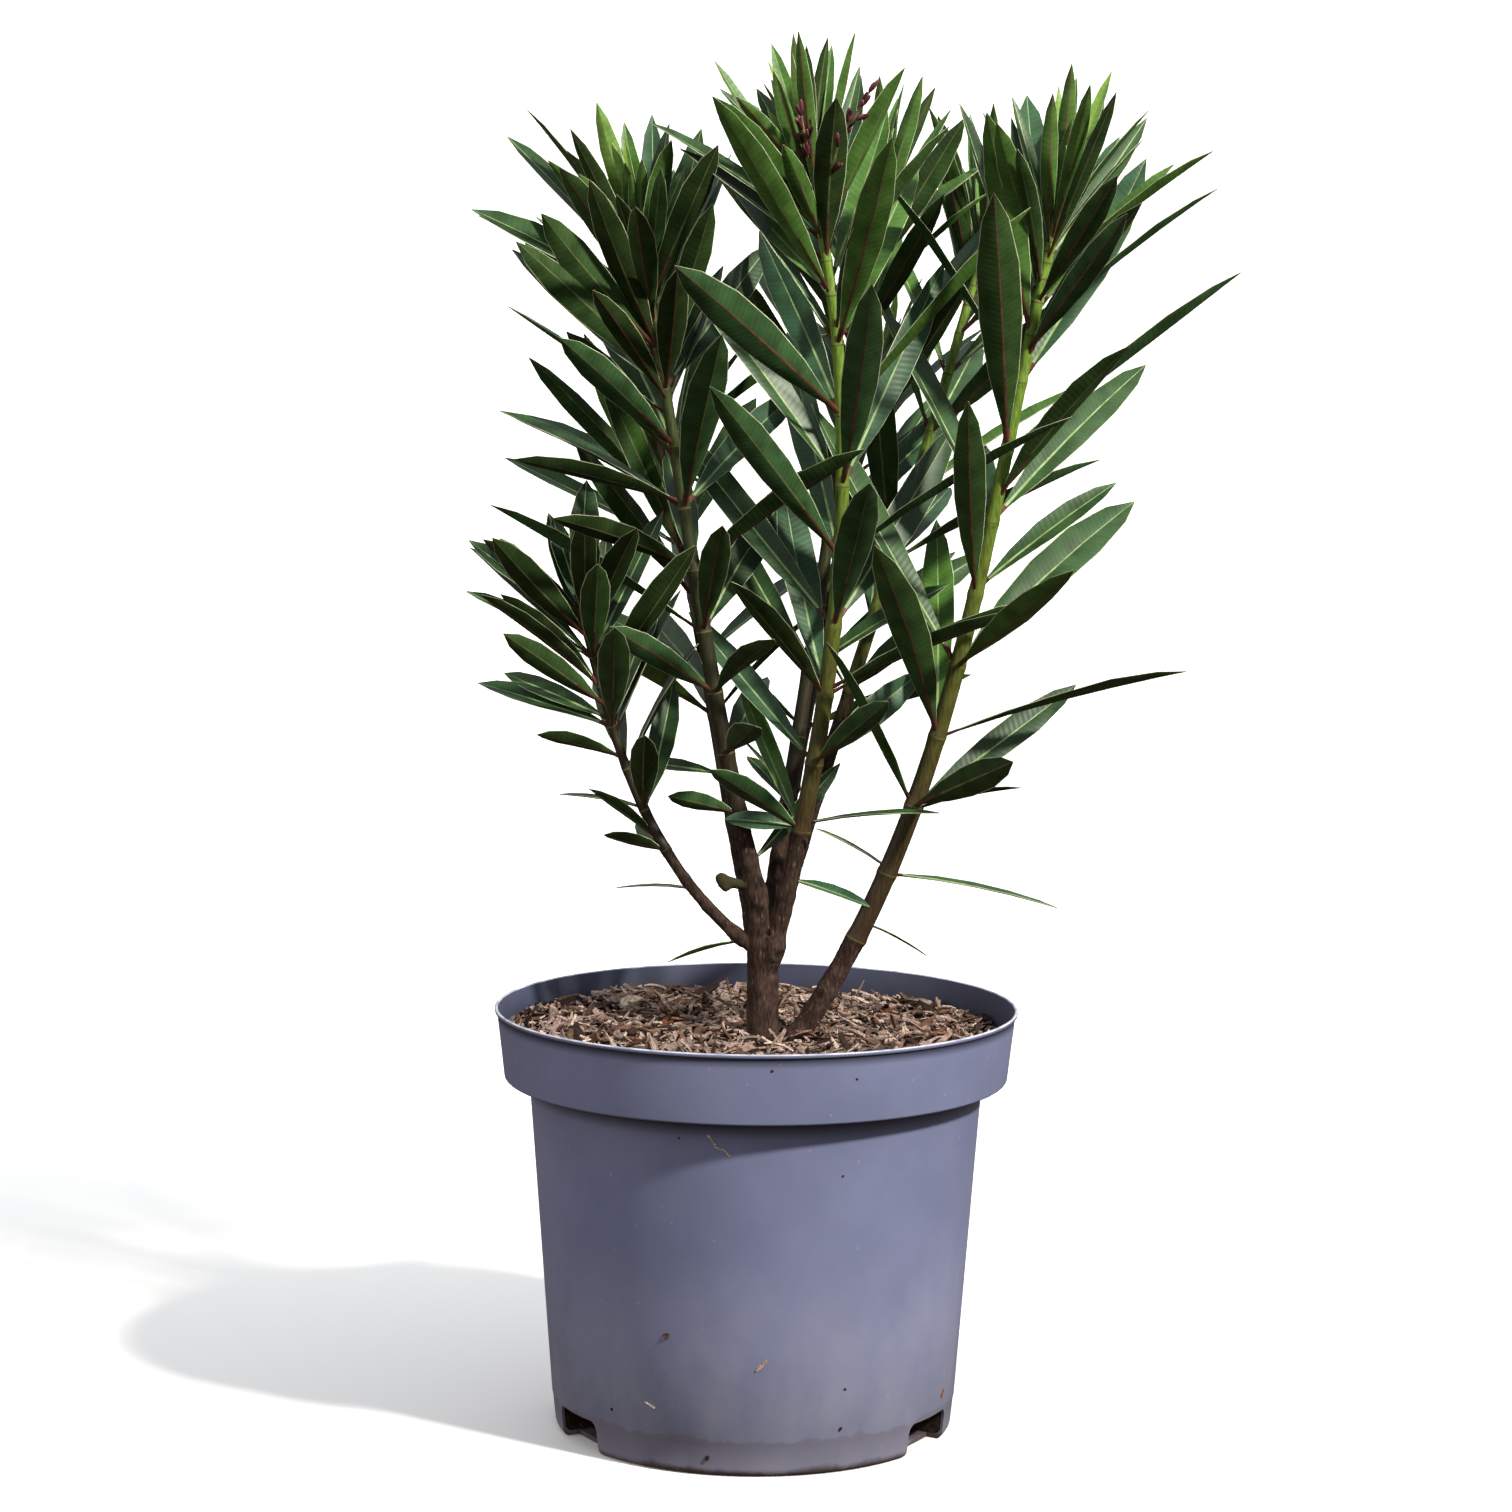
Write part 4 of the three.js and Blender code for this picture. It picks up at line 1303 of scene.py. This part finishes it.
def potProfile():
    # out under the floor, round the foot, up outside, over the rolled lip and down again inside. The
    # steps of less than a millimetre round its corners off.
    rim, top, wall, edge = pot["rimRadius"], pot["rimHeight"], pot["wall"], pot["edgeRound"]
    collar, collarFoot = pot["collarFootRadius"], pot["collarFoot"]
    body, floor = pot["bodyTopRadius"], pot["floorThickness"]
    foot, footWall, footRound = pot["footRadius"], pot["bodyFootRadius"], pot["footRound"]
    band, bandStep = pot["bandHeight"], pot["bandStep"]
    bandRadius = mix(footWall, body, band / collarFoot)
    under, underHeight = rim - pot["lip"], top - pot["lipHeight"]
    step = collarFoot + wall
    return [
        (0, 0), (60, 0), *arc((foot, footRound), (footWall - bandStep - foot, footRound), -90, 0, 6),
        (bandRadius - bandStep, band - 0.3), (bandRadius, band + 0.3),
        *[(mix(bandRadius, body, share), mix(band, collarFoot, share)) for share in (0.3, 0.55, 0.8)],
        (body, collarFoot - 0.6), (body + 0.6, collarFoot),
        *arc((collar - edge, collarFoot + edge), (edge, edge), -90, 0, 5),
        (mix(collar, under, 0.5), mix(collarFoot, top, 0.5)), (under, underHeight),
        (rim - 0.2, underHeight + 0.4),
        *arc((rim - wall / 2, top - wall / 2), (wall / 2, wall / 2), 0, 180, 8),
        (collar - wall + 0.4, step + 3), (collar - wall - 0.6, step + 0.6),
        (body - wall + 0.8, step), (body - wall, step - 0.8),
        (footWall - wall, footRound), (foot, floor), (0, floor),
    ]


def notchCutter(index, reach):
    # a block with its two upper corners rounded, pushed through the wall from outside
    low, high = pot["bodyFootRadius"] - reach, pot["bodyFootRadius"] + pot["cutOut"]
    top, under = pot["notchHeight"], pot["cutUnder"]
    bm = bmesh.new()
    bmesh.ops.create_cube(bm, size=1)
    bmesh.ops.scale(bm, vec=(pot["notchWidth"], high - low, top + under), verts=bm.verts)
    bmesh.ops.translate(bm, vec=(0, (low + high) / 2, (top - under) / 2), verts=bm.verts)
    corners = [edge for edge in bm.edges if all(abs(vert.co.z - top) < 0.1 for vert in edge.verts)
               and abs(edge.verts[0].co.x - edge.verts[1].co.x) < 0.1]
    bmesh.ops.bevel(bm, geom=corners, offset=pot["notchCorner"], affect="EDGES", segments=4, profile=0.5,
                    material=-1)
    turn = math.tau * index / pot["notchCount"]
    bmesh.ops.rotate(bm, cent=(0, 0, 0), matrix=Matrix.Rotation(turn, 3, "Z"), verts=bm.verts)
    return meshObject("notch_cutter", meshFrom(bm, "notch_cutter", 1.0))


def cutNotches(piece, reach):
    cutters = [notchCutter(k, reach) for k in range(pot["notchCount"])]
    for cutter in cutters:
        cut = piece.modifiers.new("notch", "BOOLEAN")
        cut.object = cutter
        cut.operation = "DIFFERENCE"
        cut.solver = "EXACT"
    bpy.context.view_layer.update()
    applyModifiers(piece)
    for cutter in cutters:
        bpy.data.objects.remove(cutter)


def closeTurned(piece, sharpAngle, *materials):
    # finishes a turned piece that has been shaped in millimetres
    piece.data.transform(Matrix.Scale(mm, 4))
    smoothShade(piece.data, sharpAngle)
    for material in materials:
        piece.data.materials.append(material)


# Where dust and dirt have settled on the pot, and where painted shade darkens it, by heights in metres
potDirtAndShade = {
    "dust": {"From Min": 0.12, "From Max": 0.035, "To Max": 0.62},
    "patches": {"From Min": 0.2, "From Max": 0.85},
    "wander": {"From Min": 0.3, "From Max": 0.7, "To Min": -0.0035, "To Max": 0.0035},
    "foot": {"From Min": 0.0205, "From Max": 0.0197, "To Max": 0.45},
    "soil": {"From Min": 0.0045, "From Max": 0.001, "To Max": 0.8},
    # painted shade up the wall, as shares of its height: dark bands under the collar and under the lip
    "painted_shade_bands": [(0.0, "#ffffff"), (0.79, "#ffffff"), (0.832, "#575350"), (0.837, "#ffffff"), (0.966, "#ffffff"),
              (0.985, "#77777c"), (0.991, "#5a5a60"), (0.994, "#ffffff")],
}


def potMaterial():
    # moulded polypropylene: matt slate grey with a blue cast. It clouds a little, pale dust lies on it
    # in specks and towards the foot, below the moulded line it is brown with splashed soil. Painted shade
    # darkens it in bands under the collar and under the lip.
    plastic, place = newMaterial("moulded_polypropylene")
    height = addNode(plastic, "SeparateXYZ", {"Vector": place}).outputs["Z"]
    cloud = addNode(plastic, "TexNoise", {"Scale": 9.0, "Detail": 6.0, "Roughness": 0.6, "Vector": place})
    base = addNode(plastic, "ValToRGB", {"stops": [(0.32, "#666c8a"), (0.68, "#777d9c")], "Fac": cloud})
    lowDown = addNode(plastic, "MapRange", {**potDirtAndShade["dust"], "Value": height})
    streaks = addNode(plastic, "Mapping", {"Scale": (1.0, 1.0, 0.6), "Vector": place})
    patches = addNode(plastic, "TexNoise", {"Scale": 38.0, "Detail": 6.0, "Roughness": 0.65,
                                            "Vector": streaks})
    patchy = addNode(plastic, "MapRange", {**potDirtAndShade["patches"], "Value": patches})
    dust = addNode(plastic, "Math", {"operation": "MULTIPLY", 0: lowDown, 1: patchy})
    specks = addNode(plastic, "TexVoronoi", {"Scale": 85.0, "Vector": place})
    speck = addNode(plastic, "ValToRGB", {"stops": [(0.035, "#b4b4b4"), (0.07, "#000000")], "Fac": specks})
    wander = addNode(plastic, "MapRange", {**potDirtAndShade["wander"], "Value": patches})
    splash = addNode(plastic, "Math", {"operation": "ADD", 0: height, 1: wander})
    foot = addNode(plastic, "MapRange", {**potDirtAndShade["foot"], "Value": splash})
    soil = addNode(plastic, "MapRange", {**potDirtAndShade["soil"], "Value": splash})
    soiled = coat(plastic, base, (dust, "#9c9ca8"), (speck, "#a5a5b0"), (foot, "#706b74"), (soil, "#4b3b33"))
    # painted shade: dark bands just under the collar and the lip, picked by height
    share = addNode(plastic, "MapRange", {"From Max": pot["rimHeight"] * mm, "Value": height})
    shadedBands = mottle(plastic, soiled, share, potDirtAndShade["painted_shade_bands"])
    fine = addNode(plastic, "TexNoise", {"Scale": 1400.0, "Detail": 2.0, "Vector": place})
    return closeMaterial(plastic, {"Base Color": shadedBands, "Roughness": 0.5, "IOR": 1.49,
                                   "Specular IOR Level": 0.35}, fine, 0.15, 0.0002)


def potInsideMaterial():
    # the same plastic inside the rim, darkened all over as painted shade, most of all just above the compost
    plastic, place = newMaterial("polypropylene_painted_shade_inside")
    height = addNode(plastic, "SeparateXYZ", {"Vector": place}).outputs["Z"]
    cloud = addNode(plastic, "TexNoise", {"Scale": 45.0, "Detail": 4.0, "Vector": place})
    wander = addNode(plastic, "MapRange", {"To Min": -0.25, "To Max": 0.25, "Value": cloud})
    rise = addNode(plastic, "MapRange", {"From Min": 0.207, "From Max": 0.2275, "Value": height})
    shadeRise = addNode(plastic, "Math", {"operation": "ADD", 0: rise, 1: wander})
    insideShade = addNode(plastic, "ValToRGB", {"stops": [(0.0, "#2b2628"), (0.35, "#34374a"), (0.9, "#464b61")],
                                          "Fac": shadeRise})
    return closeMaterial(plastic, {"Base Color": insideShade, "Roughness": 0.55, "IOR": 1.49,
                                   "Specular IOR Level": 0.3})


def potLipMaterial():
    # the lip's crest, painted pale as a highlight, and smooth
    plastic, place = newMaterial("polypropylene_painted_highlight_lip")
    glintCloud = addNode(plastic, "TexNoise", {"Scale": 120.0, "Detail": 3.0, "Vector": place})
    lipHighlight = addNode(plastic, "ValToRGB", {"stops": [(0.35, "#9096ae"), (0.6, "#c9ccd8")], "Fac": glintCloud})
    return closeMaterial(plastic, {"Base Color": lipHighlight, "Roughness": 0.32, "IOR": 1.49,
                                   "Specular IOR Level": 0.5})


def buildPot():
    piece = spun("nursery_pot", potProfile(), pot["sides"])
    cutNotches(piece, pot["notchReach"])
    closeTurned(piece, 32, potMaterial(), potInsideMaterial(), potLipMaterial())
    for face in piece.data.polygons:
        if face.center.z < pot["collarFoot"] * mm:
            continue
        # the lip's crest takes the pale plastic, a painted highlight
        if face.normal.z > 0.25 and face.center.z > (pot["rimHeight"] - pot["wall"]) * mm:
            face.material_index = 2
        # the inner wall takes the darker plastic, which paints shade on it
        elif face.center.x * face.normal.x + face.center.y * face.normal.y < 0:
            face.material_index = 1
    keep(piece, "pot_plastic", "pot")


buildPot()
print("pot built")


# Compost and bark mulch

mulch = {
    "level": [36, 62],     # the mulch lies level up to the first radius, and waves from the second on
    "wave": 1.6,
    "waves": [13, 16],
    "rise": 2.4,
    "edgeHeight": 4,
    "sides": 96,
    "rings": 44,
    "sunk": 1.8,           # how far the compost lies under the mulch's own level
    "lumps": [(1.6, (9, 9, 1), (0, 0, 0)), (1.1, (3.4, 3.4, 1), (0, 0, 5))],
    "lumpy": [10, 26],
    "chips": 4500,
    "bigChips": 200,
    "edgeRoom": 1.5,
    "wallRoom": 0.6,
    "bare": [(3.2, 0, 11), (21, -4, 8)],     # round the two stems: place and radius
    "alongWall": 7,        # nearer to the wall than this, chips lie along it
    "tilts": [0.42, 1.0],  # how far most chips tilt, and the others
    "flatShare": 0.85,
    "tiltLift": 0.22,      # how far a tilted chip is lifted, as a share of its length
    "headingSwing": 0.6,
    "bank": 0.8,
    "curve": 0.45,
    "taper": 0.85,
    "ragged": 0.5,
    "raggedTurns": [9, 6],
    "warp": 0.5,
    "seed": 73,
}

# Each chip's length, width, thickness and height above the compost is the first number or more, up to
# as much as the second. The third is a power: the higher it is, the more chips stay near the first.
chipSizes = {
    "small": [(5, 13, 1.6), (1, 2.4, 1.5), (0.5, 0.7, 1)],
    "big": [(10, 15, 1), (3, 5, 1.6), (1.2, 0, 1)],
    "lie": (1.2, 4.2, 1.5),
}
chipShades = {"tan": "#978275", "pink": "#b59e94", "brown": "#6a5144", "dark": "#36261f", "grey": "#857669",
              "pale": "#d6c1b0", "rust": "#8a5a40"}
chipDeal = ["tan"] * 4 + ["pink"] * 5 + ["brown"] * 5 + ["dark"] * 4 + ["grey"] * 4 + ["pale"] * 2 + ["rust"]


def compostMaterial():
    # moist peat compost, nearly black, with a crumbly surface
    peat, place = newMaterial("peat_compost")
    crumbs = addNode(peat, "TexNoise", {"Scale": 260.0, "Detail": 6.0, "Roughness": 0.7, "Vector": place})
    colour = addNode(peat, "ValToRGB", {"stops": [(0.35, "#1d1512"), (0.6, "#44332a"), (0.75, "#6d5546")],
                                        "Fac": crumbs})
    return closeMaterial(peat, {"Base Color": colour, "Roughness": 0.95, "Specular IOR Level": 0.15},
                         crumbs, 1.0, 0.002)


def chipMaterial(name, colour):
    # dry shredded bark: matt and fibrous, each shred in its own shade
    chip, place = newMaterial("shredded_bark_" + name)
    fibre = addNode(chip, "TexNoise", {"Scale": 600.0, "Detail": 4.0, "Roughness": 0.65, "Vector": place})
    streaked = mottle(chip, colour, fibre, [(0.3, "#8c8078"), (0.62, "#ffffff")])
    return closeMaterial(chip, {"Base Color": streaked, "Roughness": 0.88, "Specular IOR Level": 0.25},
                         fibre, 0.6, 0.0006)


def mulchHeight(x, y):
    away, (wide, deep) = smoothStep(math.hypot(x, y), *mulch["level"]), mulch["waves"]
    swell = mulch["wave"] * math.sin(x / wide + 1) * math.cos(y / deep)
    return away * (swell + mulch["rise"] * (y - x) / pot["rimRadius"])


def buildCompost():
    gap, wall, top = plant["clearance"], pot["wall"], plant["groundLevel"]
    low, step, side = pot["floorThickness"] + gap, pot["collarFoot"] + wall + gap, top - mulch["edgeHeight"]
    edge = insideRadius(side) - gap * 2
    outline = [(0, low), (pot["footRadius"] - gap * 2, low),
               (pot["bodyFootRadius"] - wall - gap * 2, pot["footRound"] + gap),
               (pot["bodyTopRadius"] - wall - gap * 2, step), (pot["collarFootRadius"] - wall - gap, step),
               (edge, side), *[(radius, top) for radius in np.linspace(edge - 2, 0, mulch["rings"])]]
    piece = spun("compost", outline, mulch["sides"])
    cutNotches(piece, pot["pocketReach"])
    for vert in piece.data.vertices:
        x, y, z = vert.co
        if z > top - 1:
            lump = sum(height * noiseAt((x, y, 0), size, shift) for height, size, shift in mulch["lumps"])
            lump *= smoothStep(math.hypot(x, y), *mulch["lumpy"])
            vert.co.z = top + mulchHeight(x, y) - mulch["sunk"] + lump
    closeTurned(piece, 40, compostMaterial())
    keep(piece, "bark_mulch", "mulch")


def chipTemplate():
    # a splinter of four sides and four sections, thin at both ends
    bm = bmesh.new()
    bmesh.ops.create_cube(bm, size=1)
    lengthwise = [edge for edge in bm.edges if abs(edge.verts[0].co.x - edge.verts[1].co.x) > 0.5]
    bmesh.ops.subdivide_edges(bm, edges=lengthwise, cuts=3, use_grid_fill=True)
    return templateOf(bm)


def chipPlaces(place, size, turn, curve, dice):
    # the template's points on a ragged, bent splinter of the size, turned and put in its place
    x, y, z = chipPoints.T
    (length, width, thick), (turns, start) = size, mulch["raggedTurns"]
    taper = 1 - np.abs(2 * x) ** 2 * dice.roll() * mulch["taper"]
    ragged = 1 + mulch["ragged"] * (dice.roll() - 0.5) * np.sin(x * turns + dice.roll() * start)
    rise = z * thick + curve * length * (0.25 - x * x) + y * width * dice.swing(mulch["warp"]) * x
    return np.stack([x * length, y * width * taper * ragged, rise], 1) @ np.array(turn).T + np.array(place)


def sizeFrom(dice, least, more, power):
    return least + more * dice.roll() ** power if more else least


def offTheWall(places):
    # draws in what would reach into the pot's wall
    low, high = pot["collarFoot"], pot["rimHeight"] - 0.5
    inner = np.interp(places[:, 2], [low, high], [insideRadius(low + 2), insideRadius(high)])
    pull = np.minimum(1, (inner - mulch["wallRoom"]) / np.hypot(places[:, 0], places[:, 1]))
    return places * np.stack([pull, pull, np.ones(len(pull))], 1)


def chipPiece(name, chips):
    # one piece of many chips, each its places and its shade
    names = list(chipShades)
    copies = [(places, [names.index(shade)] * len(chipFaces)) for places, shade in chips]
    piece = joinedCopies(name, copies, chipFaces, chipMaterials)
    keep(piece, "bark_mulch")
    return piece


def buildChips():
    dice, chips = Dice(mulch["seed"]), []
    edge = insideRadius(plant["groundLevel"]) - mulch["edgeRoom"]
    for k in range(mulch["chips"] + mulch["bigChips"]):
        radius = edge * math.sqrt(dice.roll())
        bearing = dice.roll() * math.tau
        x, y = radius * math.cos(bearing), radius * math.sin(bearing)
        if any(math.hypot(x - stemX, y - stemY) < bare for stemX, stemY, bare in mulch["bare"]):
            continue
        sizes = chipSizes["small" if k < mulch["chips"] else "big"]
        length, width, thick = (sizeFrom(dice, *size) for size in sizes)
        length = min(length, (edge - radius) * 1.4 + 6)
        lie = sizeFrom(dice, *chipSizes["lie"])
        often, seldom = mulch["tilts"]
        pitch = dice.swing(often if dice.roll() < mulch["flatShare"] else seldom)
        height = plant["groundLevel"] + mulchHeight(x, y) + lie - mulch["sunk"]
        height += abs(math.sin(pitch)) * length * mulch["tiltLift"]
        if edge - radius < mulch["alongWall"]:
            heading = bearing + math.pi / 2 + dice.swing(mulch["headingSwing"])
        else:
            heading = dice.roll() * math.tau
        turn = Matrix.Rotation(heading, 3, "Z") @ Matrix.Rotation(pitch, 3, "Y")
        turn = turn @ Matrix.Rotation(dice.swing(mulch["bank"]), 3, "X")
        curve = dice.swing(mulch["curve"])
        places = chipPlaces((x, y, height), (length, width, thick), turn, curve, dice)
        chips.append((offTheWall(places), dice.pick(chipDeal)))
    print("mulch faces:", len(chipPiece("bark_mulch", chips).data.polygons))


# Bits stuck to the pot's wall: bearing to the right of the front in degrees, height, length, width,
# slant in degrees and shade
stuckBits = [
    (-10.5, 179.4, 6.5, 1.0, -52, "pale"), (-8.9, 175.2, 4.6, 0.9, -20, "pale"),
    (-6.9, 173.1, 5.2, 0.9, -44, "pale"), (-28.9, 35, 6.4, 0.9, -22, "pale"),
    (2.1, 60.7, 8, 2.2, 44, "pink"), (-23.5, 73.6, 4.6, 3.2, 30, "brown"),
    (66.3, 27.9, 4.4, 2.6, 60, "rust"), (3.4, 218.9, 1.6, 1.4, 0, "dark"),
    (21.8, 213.2, 1.2, 1.1, 0, "dark"), (-18.7, 179.4, 1.2, 1.0, 0, "dark"),
    (22.1, 159.6, 1.1, 1.0, 0, "dark"), (24.4, 24.2, 2.2, 1.5, 50, "dark"),
    (-12.5, 10, 2.6, 1.9, 70, "dark"), (25.3, 45.5, 1.5, 1.2, 0, "dark"),
    (-42.1, 28.4, 1.5, 1.3, 0, "dark"),
]
bitThickness = 0.5


def outsideRadius(height):
    if height < pot["collarFoot"]:
        return mix(pot["bodyFootRadius"], pot["bodyTopRadius"], height / pot["collarFoot"])
    share = (height - pot["collarFoot"]) / (pot["rimHeight"] - pot["collarFoot"])
    return mix(pot["collarFootRadius"], pot["rimRadius"] - pot["lip"], share)


def buildBits():
    dice, bits, up = Dice(mulch["seed"] + 1), [], Vector((0, 0, 1))
    for degrees, height, length, width, slant, shade in stuckBits:
        bearing = math.radians(degrees)
        out = Vector((math.sin(bearing), -math.cos(bearing), 0))
        onWall = Matrix((up.cross(out), up, out)).transposed()
        turn = onWall @ Matrix.Rotation(math.radians(slant), 3, "Z")
        place = (*(out * (outsideRadius(height) + 0.1)).to_2d(), height)
        bits.append((chipPlaces(place, (length, width, bitThickness), turn, 0.02, dice), shade))
    chipPiece("bits_on_pot", bits)


chipMaterials = [chipMaterial(name, colour) for name, colour in chipShades.items()]
chipPoints, chipFaces = chipTemplate()
buildCompost()
buildChips()
buildBits()
print("mulch built")
